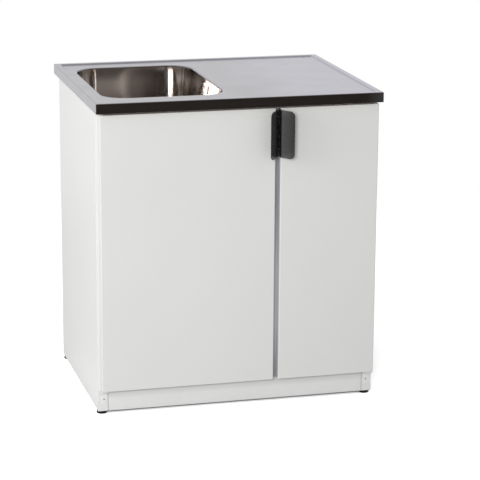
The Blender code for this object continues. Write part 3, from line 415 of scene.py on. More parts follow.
def drain_ring(points, radius):
    """A ring on the bowl's floor: points drawn in to a circle round the drain."""
    ways = [Vector((point.x, point.y, 0)) - bowl_centre for point in points]
    return [bowl_centre + way.normalized() * radius + Vector((0, 0, bowl_floor)) for way in ways]


nose = top_high.z - NOSE
rings = [top_ring(0, top_low.z, FOLD_CORNER, nose - HAIR),
         top_ring(0, top_high.z - EDGE_ROUND, FOLD_CORNER, nose)]
for step in range(1, EDGE_STEPS + 1):
    turn = math.pi / 2 * step / EDGE_STEPS
    rings.append(top_ring(EDGE_ROUND * (1 - math.cos(turn)), top_high.z - EDGE_ROUND * (1 - math.sin(turn)),
                          FOLD_CORNER, top_high.z - NOSE * (1 - math.sin(turn))))
rings.append(top_ring(EDGE_ROUND + NEAR_EDGE, top_high.z, RIM_CORNER))
for step in range(RIM_STEPS + 1):
    share = step / RIM_STEPS
    level = top_high.z - RIM_HEIGHT * share * share * (3 - 2 * share)
    rings.append(top_ring(RIM_INNER + RIM_STEP * share, level, RIM_CORNER))
rings.append(top_ring(RIM_INNER + RIM_STEP + NEAR_FIELD, field, RIM_CORNER))
rings.append(bowl_ring(LIP_START - NEAR_FIELD, field))
for step in range(LIP_STEPS + 1):
    turn = (math.pi / 2 - wall_slope) * step / LIP_STEPS
    rings.append(bowl_ring(LIP_START + BOWL_LIP * math.sin(turn), field - BOWL_LIP * (1 - math.cos(turn))))
for step in range(1, WALL_STEPS):
    share = step / WALL_STEPS
    rings.append(bowl_ring(LIP_START + BOWL_LIP + (BOWL_DRAFT - LIP_START - BOWL_LIP) * share,
                           wall_top + (wall_bottom - wall_top) * share))
for step in range(BOTTOM_STEPS + 1):
    turn = wall_slope + (math.pi / 2 - wall_slope) * step / BOTTOM_STEPS
    rings.append(bowl_ring(BOWL_DRAFT + BOTTOM_RADIUS * (math.cos(wall_slope) - math.cos(turn)),
                           wall_bottom - BOTTOM_RADIUS * (math.sin(turn) - math.sin(wall_slope))))
floor_rim = rings[-1]
seat = drain_ring(floor_rim, DRAIN_SEAT)
for step in range(1, FLOOR_STEPS + 1):
    rings.append([outer.lerp(inner, step / FLOOR_STEPS) for outer, inner in zip(floor_rim, seat)])
rings += [drain_ring(seat, DRAIN_SEAT - NEAR_EDGE), drain_ring(seat, DRAIN_RADIUS)]
sink_top = piece("sink_top", loft(rings, closed=False), satin_steel, face_out=False)
wall = sink_top.modifiers.new("sheet", "SOLIDIFY")
wall.thickness, wall.offset, wall.use_even_offset = SHEET, -1.0, True
settle(sink_top)
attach(sink_top, "unit")
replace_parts(sink_top, "steel_top", "sink_bowl")


# Front edge: a black extruded strip glued along the front of the worktop, its ends rounded over.
# It covers the raw edge of the core and the folded front of the steel.
strip_low, strip_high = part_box("front_edge_strip")
EDGING = "#16120F"
EDGING_WORN = "#221D18"
EDGING_PAINTED_REFLECTION = "#383637"
STRIP_ROUND = 0.0007
STRIP_END = 0.0022
STRIP_BACK = 0.0008


def slab(low, high, radii, edge, steps=3):
    """A flat piece with round corners that fills a box; its outline is drawn in to round both rims."""
    (left, front, floor_level), (right, back, top_level) = low, high
    turns = [math.pi / 2 * step / steps for step in range(steps + 1)]
    foot = [(edge * (1 - math.sin(turn)), floor_level + edge * (1 - math.cos(turn))) for turn in turns]
    head = [(inset, top_level + floor_level - level) for inset, level in reversed(foot)]
    rings = []
    for inset, level in foot + head:
        ring = rounded_ring(left + inset, right - inset, front + inset, back - inset,
                            [radius - inset for radius in radii])
        rings.append([Vector((u, v, level)) for u, v in ring])
    return loft(rings)


# Black edging: a satin extruded plastic, nearly black with a warm cast, rubbed a little lighter in
# streaks along its length. Towards its right end it is lighter still, as a painted reflection.
RUB_LENGTH, RUB_WIDTH = 0.05, 0.004
REFLECTION_LENGTH = 0.05
black_edging, add, surface, place = new_finish("black_edging")
stretch = add("Mapping", {"Vector": place, "Scale": (1 / RUB_LENGTH, 1 / RUB_WIDTH, 1 / RUB_WIDTH)})
rub = add("TexNoise", {"Vector": stretch, "Scale": 1.0, "Detail": 4.0})
worn = add("MapRange", {"Value": rub, "From Min": 0.55, "From Max": 0.8})
along = add("SeparateXYZ", {"Vector": place}).outputs["X"]
# Painted reflection: the last few centimetres at the right end are lighter.
end = add("MapRange", {"Value": along, "From Min": strip_high.x - REFLECTION_LENGTH, "From Max": strip_high.x})
tone = add("Mix", {0: worn, 6: EDGING, 7: EDGING_WORN})
colour = add("Mix", {0: end, 6: tone, 7: EDGING_PAINTED_REFLECTION})
coat(surface, colour, matt=(rub, 0.30, 0.42), relief=(rub, 0.08, 0.0002), ior=1.45)

bm = slab(strip_low, strip_high, (STRIP_END, STRIP_BACK, STRIP_BACK, STRIP_END), STRIP_ROUND)
front_edge = piece("front_edge", bm, black_edging)
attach(front_edge, "unit")
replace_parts(front_edge, "front_edge_strip")


# Overflow: a small pressed steel plate with five slots, clipped over a hole in the bowl's right wall.
# Behind it a moulded housing leads into a pipe that runs down to the waste body.
PLATE_WIDTH = 0.054
PLATE_HEIGHT = 0.024
PLATE_THICKNESS = 0.0015
PLATE_CORNER = 0.004
PLATE_ROUND = 0.0005
HOLE_MARGIN = 0.004
HOLE_CORNER = 0.002
CUT_REACH = 0.004
HOLE_ROUND = 0.0001
SLOT_ROUND = 0.00005
SLOT_WIDTH = 0.003
SLOT_HEIGHT = 0.012
SLOTS = 5
FIT = 0.0003
OVERFLOW_DROP = 0.029
on_wall = Matrix(((0, 0, 1, 0), (1, 0, 0, 0), (0, 1, 0, 0), (0, 0, 0, 1)))
overflow_level = field - OVERFLOW_DROP
overflow_x = bowl_right - LIP_START - BOWL_LIP - (wall_top - overflow_level) * math.tan(wall_slope)
overflow_place = (Matrix.Translation((overflow_x, bowl_centre.y, overflow_level))
                  @ Matrix.Rotation(wall_slope, 4, "Y") @ on_wall)


def wall_slab(width, height, corner, low, high, edge, middle=0.0):
    """A small rounded plate on the bowl's wall: levels run outwards from the wall's face."""
    bm = slab((middle - width / 2, -height / 2, low), (middle + width / 2, height / 2, high), (corner,) * 4,
              edge)
    bmesh.ops.transform(bm, matrix=overflow_place, verts=bm.verts[:])
    return bm


carve(sink_top, wall_slab(PLATE_WIDTH - 2 * HOLE_MARGIN, PLATE_HEIGHT - 2 * HOLE_MARGIN, HOLE_CORNER,
                          -CUT_REACH, CUT_REACH, HOLE_ROUND))
bm = wall_slab(PLATE_WIDTH, PLATE_HEIGHT, PLATE_CORNER, -FIT - PLATE_THICKNESS, -FIT, PLATE_ROUND)
overflow_plate = piece("overflow_cover", bm, satin_steel)
pitch = PLATE_WIDTH / (SLOTS + 1)
for k in range(SLOTS):
    middle = -PLATE_WIDTH / 2 + pitch * (k + 1)
    carve(overflow_plate, wall_slab(SLOT_WIDTH, SLOT_HEIGHT, SLOT_WIDTH / 2 - HOLE_ROUND, -CUT_REACH,
                                    CUT_REACH, SLOT_ROUND, middle))
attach(overflow_plate, "unit")
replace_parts(overflow_plate, "overflow_plate")

# White moulded plastic: polypropylene from a polished mould. Off-white, soft gloss, a little uneven
# where it cooled. The mould's own grain is about 0.5 mm and is drawn at 2 mm so that it shows.
PLASTIC_WHITE = "#E8E8E4"
PLASTIC_AGED = "#DEDCD2"
PLASTIC_PATCH = 0.03
MOULD_GRAIN = 0.002
moulded_white, add, surface, place = new_finish("moulded_white_plastic")
patch = add("TexNoise", {"Vector": place, "Scale": 1 / PLASTIC_PATCH, "Detail": 3.0})
grain = add("TexNoise", {"Vector": place, "Scale": 1 / MOULD_GRAIN, "Detail": 2.0})
colour = add("Mix", {0: patch, 6: PLASTIC_WHITE, 7: PLASTIC_AGED})
coat(surface, colour, matt=(patch, 0.30, 0.48), relief=(grain, 0.08, 0.0002), ior=1.49)
dress(moulded_white, "overflow_housing")

PIPE_STATIONS = 36
PIPE_STEPS = 32
COLLAR_LENGTH = 0.012
COLLAR_RISE = 0.0012
COLLAR_EDGE = 0.002
pipe_low, pipe_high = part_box("overflow_pipe")
pipe_radius = (pipe_high.y - pipe_low.y) / 2
pipe_top = Vector((pipe_high.x - pipe_radius, bowl_centre.y, pipe_high.z))
pipe_end = Vector((pipe_low.x, bowl_centre.y, pipe_low.z + pipe_radius))
drop = pipe_top.z - pipe_end.z
bends = (pipe_top, pipe_top - Vector((0, 0, drop)), pipe_end + Vector((drop / 2, 0, 0)), pipe_end)
spots = []
for k in range(PIPE_STATIONS + 1):
    t = k / PIPE_STATIONS
    weights = ((1 - t) ** 3, 3 * t * (1 - t) ** 2, 3 * t * t * (1 - t), t ** 3)
    spots.append(sum((weight * bend for weight, bend in zip(weights, bends)), Vector()))
rings = []
for k, spot in enumerate(spots):
    ahead = (spots[min(k + 1, PIPE_STATIONS)] - spots[max(k - 1, 0)]).normalized()
    sideways = ahead.cross(Vector((0, 1, 0)))
    from_end = min((spot - pipe_top).length, (spot - pipe_end).length)
    swell = COLLAR_RISE * max(0.0, min(1.0, (COLLAR_LENGTH - from_end) / COLLAR_EDGE))
    reach = pipe_radius - COLLAR_RISE + swell
    turns = [2 * math.pi * step / PIPE_STEPS for step in range(PIPE_STEPS)]
    rings.append([spot + reach * (math.cos(turn) * sideways + Vector((0, math.sin(turn), 0)))
                  for turn in turns])
overflow_bend = piece("overflow_bend", loft(rings), moulded_white)
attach(overflow_bend, "unit")
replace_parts(overflow_bend, "overflow_pipe")


# Waste: a turned steel flange through the bowl's drain hole, pulled down on a rubber seal by the
# moulded waste body below, which takes the overflow on a side stub.
TURN_STEPS = 72
FLANGE_REACH = 0.043
FLANGE_RISE = 0.002
WASTE_BORE = 0.034
WASTE_TUBE = 0.0355
WASTE_LEDGE = 0.010
WASTE_DEPTH = 0.030
PLASTIC_WALL = 0.003
SPIGOT_LENGTH = 0.025
WASTE_BODY_DEPTH = 0.045
SPIGOT_RADIUS = 0.020
STUB_RADIUS = 0.009
FLANGE_SOFT, MOULD_SOFT, STUB_SOFT = 0.0007, 0.002, 0.001
SOFT_SHARE = 0.45


def tube(bore, radius, start, end):
    """The profile of a plain tube, or with no bore of a rod."""
    return [(bore, start), (radius, start), (radius, end), (bore, end)]


def softened(points, radius, steps=3):
    """Round the corners of a drawn profile; one that starts on the axis keeps its two ends there."""
    count = len(points)
    smooth = []
    for k, corner in enumerate(points):
        if not points[0][0] and k in (0, count - 1):
            smooth.append(tuple(corner))
            continue
        corner, before, after = Vector(corner), Vector(points[k - 1]), Vector(points[(k + 1) % count])
        start = corner + (before - corner) * min(SOFT_SHARE, radius / (before - corner).length)
        end = corner + (after - corner) * min(SOFT_SHARE, radius / (after - corner).length)
        for step in range(steps + 1):
            t = step / steps
            smooth.append(tuple((1 - t) ** 2 * start + 2 * t * (1 - t) * corner + t * t * end))
    return smooth


def turned(profile, centre, axis="Z", steps=TURN_STEPS, soft=0.0, grips=(0, 0.0, 0.0), bm=None):
    """Turn a (radius, height) profile. Grips are flutes in its outside: their count, their depth and
    how far in from the widest radius they reach."""
    bm = bm or bmesh.new()
    flutes, flute_depth, skin = grips
    grip_from = max(profile)[0] - skin
    profile = softened(profile, soft) if soft else profile
    spread = {"X": (1, 2, 0), "Y": (0, 2, 1), "Z": (0, 1, 2)}[axis]
    rows = []
    for radius, height in profile:
        row = []
        for k in range(steps if radius else 1):
            turn = 2 * math.pi * k / steps
            reach = radius
            if radius > grip_from:
                reach -= flute_depth * (0.5 - 0.5 * math.cos(flutes * turn))
            point = [0.0, 0.0, 0.0]
            for direction, value in zip(spread, (reach * math.cos(turn), reach * math.sin(turn), height)):
                point[direction] = value
            row.append(bm.verts.new(Vector(point) + centre))
        rows.append(row)
    pairs = list(zip(rows, rows[1:]))
    if profile[0][0]:
        pairs.append((rows[-1], rows[0]))
    for row, following in pairs:
        for k in range(steps):
            after = k + 1
            corners = (row[k % len(row)], row[after % len(row)], following[after % len(following)],
                       following[k % len(following)])
            corners = list(dict.fromkeys(corners))
            if len(corners) > 2:
                bm.faces.new(corners)
    return bm


flange_rim = bowl_floor + FIT
flange_foot = bowl_floor - WASTE_DEPTH
profile = [(FLANGE_REACH, flange_rim), (FLANGE_REACH, flange_rim + FLANGE_RISE / 2),
           (WASTE_BORE, flange_rim + FLANGE_RISE), (WASTE_BORE, flange_foot + FLANGE_RISE),
           (WASTE_BORE - WASTE_LEDGE, flange_foot + FLANGE_RISE), (WASTE_BORE - WASTE_LEDGE, flange_foot),
           (WASTE_TUBE, flange_foot), (WASTE_TUBE, flange_rim)]
flange = piece("drain_flange", turned(profile, bowl_centre, soft=FLANGE_SOFT), satin_steel)
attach(flange, "unit")
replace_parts(flange, "waste_flange")

# Black rubber: moulded, matt, with a bloom that greys it in patches.
RUBBER = "#060606"
RUBBER_BLOOM = "#0E0E0E"
BLOOM = 0.006
black_rubber, add, surface, place = new_finish("black_rubber")
bloom = add("TexNoise", {"Vector": place, "Scale": 1 / BLOOM, "Detail": 4.0})
colour = add("Mix", {0: bloom, 6: RUBBER, 7: RUBBER_BLOOM})
coat(surface, colour, matt=(bloom, 0.6, 0.85), relief=(bloom, 0.15, 0.0003), ior=1.52)
dress(black_rubber, "waste_seal")

body_low, body_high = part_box("waste_body")
body_radius = bowl_centre.x - body_low.x
bore = SPIGOT_RADIUS - PLASTIC_WALL
body_inner = body_radius - PLASTIC_WALL
shoulder = body_high.z - WASTE_BODY_DEPTH
spigot_top = body_low.z + SPIGOT_LENGTH
profile = [(body_radius, body_high.z), (body_radius, shoulder), (SPIGOT_RADIUS, spigot_top),
           (SPIGOT_RADIUS, body_low.z), (bore, body_low.z), (bore, spigot_top + PLASTIC_WALL),
           (body_inner, shoulder + PLASTIC_WALL), (body_inner, body_high.z)]
waste_cup = piece("waste_cup", turned(profile, bowl_centre, soft=MOULD_SOFT), moulded_white)
stub_axis = bowl_centre + Vector((0, 0, pipe_end.z))
profile = tube(0, STUB_RADIUS, body_radius - PLASTIC_WALL / 2, body_high.x - bowl_centre.x)
carve(waste_cup, turned(profile, stub_axis, "X", soft=STUB_SOFT), "UNION")
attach(waste_cup, "unit")
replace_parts(waste_cup, "waste_body")


# Basket strainer: a pressed steel cup with punched drain holes and a turned lifting knob, dropped
# loose into the waste flange.
basket_low, basket_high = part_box("basket_strainer")
BASKET_WALL = 0.0012
BASKET_TAPER = 0.002
KNOB_STEM = 0.004
KNOB_RADIUS = 0.008
KNOB_RISE = 0.009
KNOB_FOOT, KNOB_HEAD = 0.003, 0.007
BASKET_SOFT = 0.0012
HOLE_RADIUS = 0.0015
HOLE_RINGS = ((0.010, 10), (0.016, 16), (0.022, 22), (0.0275, 28))
PUNCH_REACH = 0.002
PUNCH_STEPS = 10
basket_rim = basket_high.z - KNOB_RISE
wide = (basket_high.x - basket_low.x) / 2
narrow = wide - BASKET_TAPER
basket_floor = basket_low.z + BASKET_WALL
profile = [(0, basket_low.z), (narrow, basket_low.z), (wide, basket_rim), (wide - BASKET_WALL, basket_rim),
           (narrow - BASKET_WALL, basket_floor), (KNOB_STEM, basket_floor), (KNOB_STEM, basket_rim),
           (KNOB_RADIUS, basket_rim + KNOB_FOOT), (KNOB_RADIUS, basket_rim + KNOB_HEAD), (0, basket_high.z)]
basket = piece("drain_basket", turned(profile, bowl_centre, soft=BASKET_SOFT), satin_steel)
profile = tube(0, HOLE_RADIUS, basket_low.z - PUNCH_REACH, basket_floor + PUNCH_REACH)
punches = bmesh.new()
for ring_radius, count in HOLE_RINGS:
    for k in range(count):
        turn = 2 * math.pi * k / count
        spot = bowl_centre + ring_radius * Vector((math.cos(turn), math.sin(turn), 0))
        turned(profile, spot, steps=PUNCH_STEPS, bm=punches)
carve(basket, punches)
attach(basket, "strainer")
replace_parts(basket, "basket_strainer")


# Bottle trap: a moulded tail pipe drops into a bottle whose cup screws off below, and an outlet pipe
# runs back to the wall. Fluted slip nuts hold both pipes.
PIPE_WALL = 0.002
COLLAR = 0.015
SHOULDER = 0.007
PIPE_SOFT, CUP_SOFT, NUT_SOFT = 0.0008, 0.0012, 0.0015
CUP_GRIPS, CUP_STEPS = (16, 0.0012, 0.0005), 128
NUT_GRIPS, NUT_STEPS = (12, 0.0020, 0.0006), 144
OVERCUT = 0.005
trap_low, trap_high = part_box("trap_body")
tail_low, tail_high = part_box("tail_pipe")
cup_low, cup_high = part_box("trap_cup")
outlet_low, outlet_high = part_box("outlet_pipe")
pipe = (tail_high.x - tail_low.x) / 2
trap_radius = bowl_centre.x - trap_low.x
outlet_axis = bowl_centre + Vector((0, 0, (outlet_low.z + outlet_high.z) / 2))
branch_end = trap_high.y - bowl_centre.y
trap_inner = trap_radius - PLASTIC_WALL
bore = pipe - PIPE_WALL
neck = SPIGOT_RADIUS - PLASTIC_WALL

profile = tube(bore, pipe, tail_low.z, tail_high.z)
tail = piece("trap_tail", turned(profile, bowl_centre, soft=PIPE_SOFT), moulded_white)
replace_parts(tail, "tail_pipe")

trap_neck = trap_high.z - COLLAR
profile = [(SPIGOT_RADIUS, trap_high.z), (SPIGOT_RADIUS, trap_neck), (trap_radius, trap_neck - SHOULDER),
           (trap_radius, trap_low.z), (trap_inner, trap_low.z),
           (trap_inner, trap_neck - SHOULDER - PLASTIC_WALL), (neck, trap_neck - PLASTIC_WALL),
           (neck, trap_high.z)]
bottle = piece("trap_bottle", turned(profile, bowl_centre, soft=MOULD_SOFT), moulded_white)
profile = tube(0, SPIGOT_RADIUS, trap_radius - PLASTIC_WALL / 2, branch_end)
carve(bottle, turned(profile, outlet_axis, "Y", soft=STUB_SOFT), "UNION")
carve(bottle, turned(tube(0, neck, pipe, branch_end + OVERCUT), outlet_axis, "Y"))
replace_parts(bottle, "trap_body")

cup_radius = (cup_high.x - cup_low.x) / 2
cup_hole = trap_radius + FIT
profile = [(0, cup_low.z), (cup_radius - PLASTIC_WALL, cup_low.z), (cup_radius, cup_low.z + PLASTIC_WALL),
           (cup_radius, cup_high.z), (cup_hole, cup_high.z), (cup_hole, trap_low.z - FIT),
           (trap_inner, trap_low.z - FIT), (trap_inner, cup_low.z + PLASTIC_WALL),
           (0, cup_low.z + PLASTIC_WALL)]
bm = turned(profile, bowl_centre, "Z", CUP_STEPS, CUP_SOFT, CUP_GRIPS)
cup = piece("trap_screw_cup", bm, moulded_white)
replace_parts(cup, "trap_cup")

profile = tube(bore, pipe, outlet_low.y - bowl_centre.y, outlet_high.y - bowl_centre.y)
outlet = piece("trap_outlet", turned(profile, outlet_axis, "Y", soft=PIPE_SOFT), moulded_white)
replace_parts(outlet, "outlet_pipe")

nuts = []
for node, axis, centre in (("trap_inlet_nut", "Z", bowl_centre), ("trap_outlet_nut", "Y", outlet_axis)):
    low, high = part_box(node)
    start, end = (low.z, high.z) if axis == "Z" else (low.y - centre.y, high.y - centre.y)
    profile = tube(SPIGOT_RADIUS + FIT, (high.x - low.x) / 2, start, end)
    bm = turned(profile, centre, axis, NUT_STEPS, NUT_SOFT, NUT_GRIPS)
    nuts.append(piece(node.replace("trap", "fluted"), bm, moulded_white))
    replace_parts(nuts[-1], node)
for made in (tail, bottle, cup, outlet, *nuts):
    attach(made, "unit")


# Door pivots: flat steel brackets let into the side panels carry pins above and below each door.
# The lower ones show at the foot of the front and are painted white together with their screws.
SIDES = ("left", "right")
ZINC = "#B3B5B7"
ZINC_BLUE = "#A3A8AE"
SPANGLE = 0.004


def axis_spot(node, axis):
    """The middle of a CAD piece, brought to zero along one axis."""
    low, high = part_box(node)
    middle = (low + high) / 2
    middle["XYZ".index(axis)] = 0.0
    return middle


# Bright zinc plate: a thin bluish metal coat over stamped steel, clouded in patches of a few millimetres.
zinc_plate, add, surface, place = new_finish("bright_zinc_plate")
spangle = add("TexVoronoi", {"Vector": place, "Scale": 1 / SPANGLE})
tone = add("SeparateXYZ", {"Vector": spangle.outputs["Color"]}).outputs["X"]
colour = add("Mix", {0: tone, 6: ZINC, 7: ZINC_BLUE})
gloss = add("MapRange", {"Value": tone, "To Min": 0.28, "To Max": 0.45})
fill(surface, {"Base Color": colour, "Roughness": gloss, "Metallic": 1.0})

# White powder coat: baked paint with a faint orange peel of about 3 mm, with painted shade dark down in the
# screws' sockets.
COAT_WHITE = "#F0F1F1"
COAT_SHADE = "#E9EAEA"
SOCKET_PAINTED_SHADE = "#4C4B49"
COAT_PEEL = 0.003
SOCKET = 0.0016
powder_coat, add, surface, place = new_finish("white_powder_coat")
peel = add("TexNoise", {"Vector": place, "Scale": 1 / COAT_PEEL, "Detail": 2.0})
painted = add("Mix", {0: peel, 6: COAT_WHITE, 7: COAT_SHADE})
axes = add("SeparateXYZ", {"Vector": place}).outputs
screw_axis = axis_spot("right_bracket_screw", "Y")
from_middle = add("Math", {0: axes["X"]}, operation="ABSOLUTE")
on_face = add("CombineXYZ", {"X": from_middle, "Z": axes["Z"]})
from_axis = add("VectorMath", {0: on_face, 1: screw_axis}, operation="DISTANCE")
# Painted shade: inside the screws' sockets the coat is darkened.
socket = add("Math", {0: from_axis, 1: SOCKET + HAIR}, operation="LESS_THAN")
colour = add("Mix", {0: socket, 6: painted, 7: SOCKET_PAINTED_SHADE})
coat(surface, colour, matt=(peel, 0.30, 0.42), relief=(peel, 0.10, 0.0003))

# Charcoal moulded plastic: spark-eroded ABS, nearly black with a satin sheen. The grain is about 0.4 mm
# and is drawn at 1.5 mm so that it shows; touched places are a little smoother. The right handle's face in
# front of the door carries painted light: lighter grey, most at its bend, fading towards its free edge.
CHARCOAL = "#1F1F1E"
CHARCOAL_DEEP = "#191918"
PAINTED_LIGHT_BEND = "#686867"
PAINTED_LIGHT_TIP = "#1E1E1D"
SPARK_GRAIN = 0.0015
TOUCH = 0.03
PAINTED_LIGHT_FROM, PAINTED_LIGHT_FULL = 0.0005, 0.0030
charcoal_plastic, add, surface, place = new_finish("charcoal_moulded_plastic")
grain = add("TexNoise", {"Vector": place, "Scale": 1 / SPARK_GRAIN, "Detail": 3.0})
touch = add("TexNoise", {"Vector": place, "Scale": 1 / TOUCH, "Detail": 2.0})
fresh = add("Mix", {0: touch, 6: CHARCOAL, 7: CHARCOAL_DEEP})
axes = add("SeparateXYZ", {"Vector": place}).outputs
grip_low, grip_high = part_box("right_handle")
# Painted light: the right handle's face in front of the door is lighter grey, most at the bend.
to_tip = add("MapRange", {"Value": axes["X"], "From Min": grip_low.x, "From Max": grip_high.x})
painted_light = add("Mix", {0: to_tip, 6: PAINTED_LIGHT_BEND, 7: PAINTED_LIGHT_TIP})
on_right = add("MapRange", {"Value": axes["X"], "From Min": grip_low.x + PAINTED_LIGHT_FROM,
                            "From Max": grip_low.x + PAINTED_LIGHT_FULL})
before_door = add("Math", {0: axes["Y"], 1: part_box("right_door_panel")[0].y}, operation="LESS_THAN")
lit_face = add("Math", {0: on_right, 1: before_door})
colour = add("Mix", {0: lit_face, 6: fresh, 7: painted_light})
coat(surface, colour, matt=(touch, 0.22, 0.32), relief=(grain, 0.08, 0.0002), ior=1.54)

SHANK = 0.002
HEAD = 0.0035
CROWN = 0.0026
SOCKET_DEPTH = 0.0012
HEAD_HEIGHT = 0.0015
HEAD_RIM = 0.0006
SCREW_SOFT = 0.0003
SCREW_STEPS = 24


def domed_screw(node, name, axis, head_side, finish):
    """A pan-head screw in place of a CAD screw, with a driving socket in its head."""
    low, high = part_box(node)
    along = "XYZ".index(axis)
    crown, tip = (high[along], low[along]) if head_side > 0 else (low[along], high[along])
    neck = crown - head_side * HEAD_HEIGHT
    profile = [(0, tip), (SHANK, tip), (SHANK, neck), (HEAD, neck), (HEAD, neck + head_side * HEAD_RIM),
               (CROWN, crown), (SOCKET, crown), (SOCKET, crown - head_side * SOCKET_DEPTH),
               (0, crown - head_side * SOCKET_DEPTH)]
    bm = turned(profile, axis_spot(node, axis), axis, SCREW_STEPS, SCREW_SOFT)
    made = piece(name, bm, finish)
    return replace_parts(made, node)


for side in SIDES:
    dress(zinc_plate, f"{side}_top_bracket", f"{side}_top_pin", f"{side}_bottom_pin")
    dress(powder_coat, f"{side}_bottom_bracket")
    screw = domed_screw(f"{side}_bracket_screw", f"{side}_bracket_fixing", "Y", -1, powder_coat)
    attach(screw, "unit")


# Doors: lay-on boards wrapped in white satin foil, the upright edges rounded, bored top and bottom
# for the pivot bushes and from the edge for the handle screws.
DOOR_WHITE = "#E5E5E2"
DOOR_COOL = "#E0E1E0"
DOOR_HANDLED = "#CFCBC2"
DOOR_EDGE = 0.003
DOOR_RIM = 0.0010
BUSH_BORE = 0.0058
BUSH_LENGTH = 0.0143
BUSH_STEPS = 32
SCREW_BORE = 0.0023
SCREW_DEPTH = 0.0125

# White satin foil: vacuum-formed vinyl on board. Smooth and even with a slow orange peel of about
# 5 mm, and a faint warm trace of hands beside the handles.
FOIL_PATCH = 0.35
FOIL_PEEL = 0.005
SMEAR = 0.025
HANDS_REACH, HANDS_NEAR, HANDS_SHARE = 0.16, 0.05, 0.10
meeting = (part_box("left_door_panel")[1].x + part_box("right_door_panel")[0].x) / 2
hand_level = (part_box("left_handle")[0].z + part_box("left_handle")[1].z) / 2
satin_foil, add, surface, place = new_finish("white_satin_foil")
patch = add("TexNoise", {"Vector": place, "Scale": 1 / FOIL_PATCH, "Detail": 2.0})
tone = add("Mix", {0: patch, 6: DOOR_WHITE, 7: DOOR_COOL})
reach = add("VectorMath", {0: place, 1: (meeting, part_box("left_door_panel")[0].y, hand_level)},
            operation="DISTANCE")
near = add("MapRange", {"Value": reach, "From Min": HANDS_REACH, "From Max": HANDS_NEAR})
smear = add("TexNoise", {"Vector": place, "Scale": 1 / SMEAR, "Detail": 4.0})
trace = add("Math", {0: near, 1: smear})
share = add("Math", {0: trace, 1: HANDS_SHARE})
colour = add("Mix", {0: share, 6: tone, 7: DOOR_HANDLED})
peel = add("TexNoise", {"Vector": place, "Scale": 1 / FOIL_PEEL, "Detail": 1.0})
coat(surface, colour, matt=(smear, 0.32, 0.42), relief=(peel, 0.06, 0.0003))

for side, inward in zip(SIDES, (-1, 1)):
    low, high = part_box(f"{side}_door_panel")
    board = piece(f"{side}_door_board", slab(low, high, (DOOR_EDGE,) * 4, DOOR_RIM), satin_foil)
    hinge = axis_spot(f"{side}_bottom_bush", "Z")
    for start, end in ((low.z - OVERCUT, low.z + BUSH_LENGTH), (high.z - BUSH_LENGTH, high.z + OVERCUT)):
        carve(board, turned(tube(0, BUSH_BORE, start, end), hinge, steps=BUSH_STEPS))
    for place_name in ("upper", "lower"):
        centre = axis_spot(f"{side}_handle_screw_{place_name}", "X")
        centre.x = high.x if side == "left" else low.x
        start, end = sorted((-inward * OVERCUT, inward * SCREW_DEPTH))
        carve(board, turned(tube(0, SCREW_BORE, start, end), centre, "X", SCREW_STEPS))
    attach(board, f"{side}_door")
    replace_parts(board, f"{side}_door_panel")
    dress(moulded_white, f"{side}_top_bush", f"{side}_bottom_bush")


# Handles: one moulded charcoal plate on each meeting edge. A leg is screwed to the door's edge, bends
# just in front of the door and leans out as a flat wing, so that fingers reach in behind its free edge.
HANDLE_THICKNESS = 0.003
HANDLE_BACK = 0.016
HANDLE_LEG = 0.0069
HANDLE_BEND = 0.0085
HANDLE_FLARE = math.radians(37.5)
HANDLE_WING = 0.0425
HANDLE_CORNER = 0.015
HANDLE_EDGE = 0.0011
EDGE_SHARE = 0.9
BEND_STEPS, QUARTER_STEPS = 10, 4
WING_DEGREES = 6


def wing_plate(edge, outward, front, bottom, top):
    """Loft the handle's rounded section along its path, from the leg's hidden end to the free edge."""
    leg_x = edge - outward * (FIT + HANDLE_THICKNESS / 2)
    middle = (bottom + top) / 2
    bend = HANDLE_BEND * HANDLE_FLARE
    length = bend + HANDLE_WING
    stations = [-HANDLE_BACK - HANDLE_LEG] + [bend * k / BEND_STEPS for k in range(BEND_STEPS + 1)]
    turns = [math.radians(turn) for turn in range(0, 91, WING_DEGREES)]
    stations += [length - HANDLE_CORNER * (1 - math.sin(turn)) for turn in turns]
    rings = []
    for station in stations:
        angle = min(max(0.0, station), bend) / HANDLE_BEND
        travel = max(0.0, station - bend)
        past = max(0.0, station - length + HANDLE_CORNER) / HANDLE_CORNER
        drop = HANDLE_CORNER * (1 - math.sqrt(max(0.0, 1 - past * past)))
        near_end = max(0.0, station - length + HANDLE_EDGE) / HANDLE_EDGE
        shrink = HANDLE_EDGE * (1 - math.sqrt(max(0.0, 1 - near_end * near_end)))
        half_height = (top - bottom) / 2 - drop - shrink
        half = HANDLE_THICKNESS / 2 - shrink
        radius = min(HANDLE_EDGE, half * EDGE_SHARE)
        across = Vector((outward * math.cos(angle), math.sin(angle), 0))
        centre = Vector((leg_x + outward * (HANDLE_BEND * (1 - math.cos(angle)) + travel * math.sin(angle)),
                         front - HANDLE_LEG - HANDLE_BEND * math.sin(angle) - travel * math.cos(angle)
                         - min(0.0, station), middle))
        ring = []
        for quarter, (side_sign, up_sign) in enumerate(((1, 1), (-1, 1), (-1, -1), (1, -1))):
            for step in range(QUARTER_STEPS + 1):
                turn = math.pi / 2 * (quarter + step / QUARTER_STEPS)
                u = side_sign * (half - radius) + radius * math.cos(turn)
                v = up_sign * (half_height - radius) + radius * math.sin(turn)
                ring.append(centre + across * u + Vector((0, 0, v)))
        rings.append(ring)
    return loft(rings)


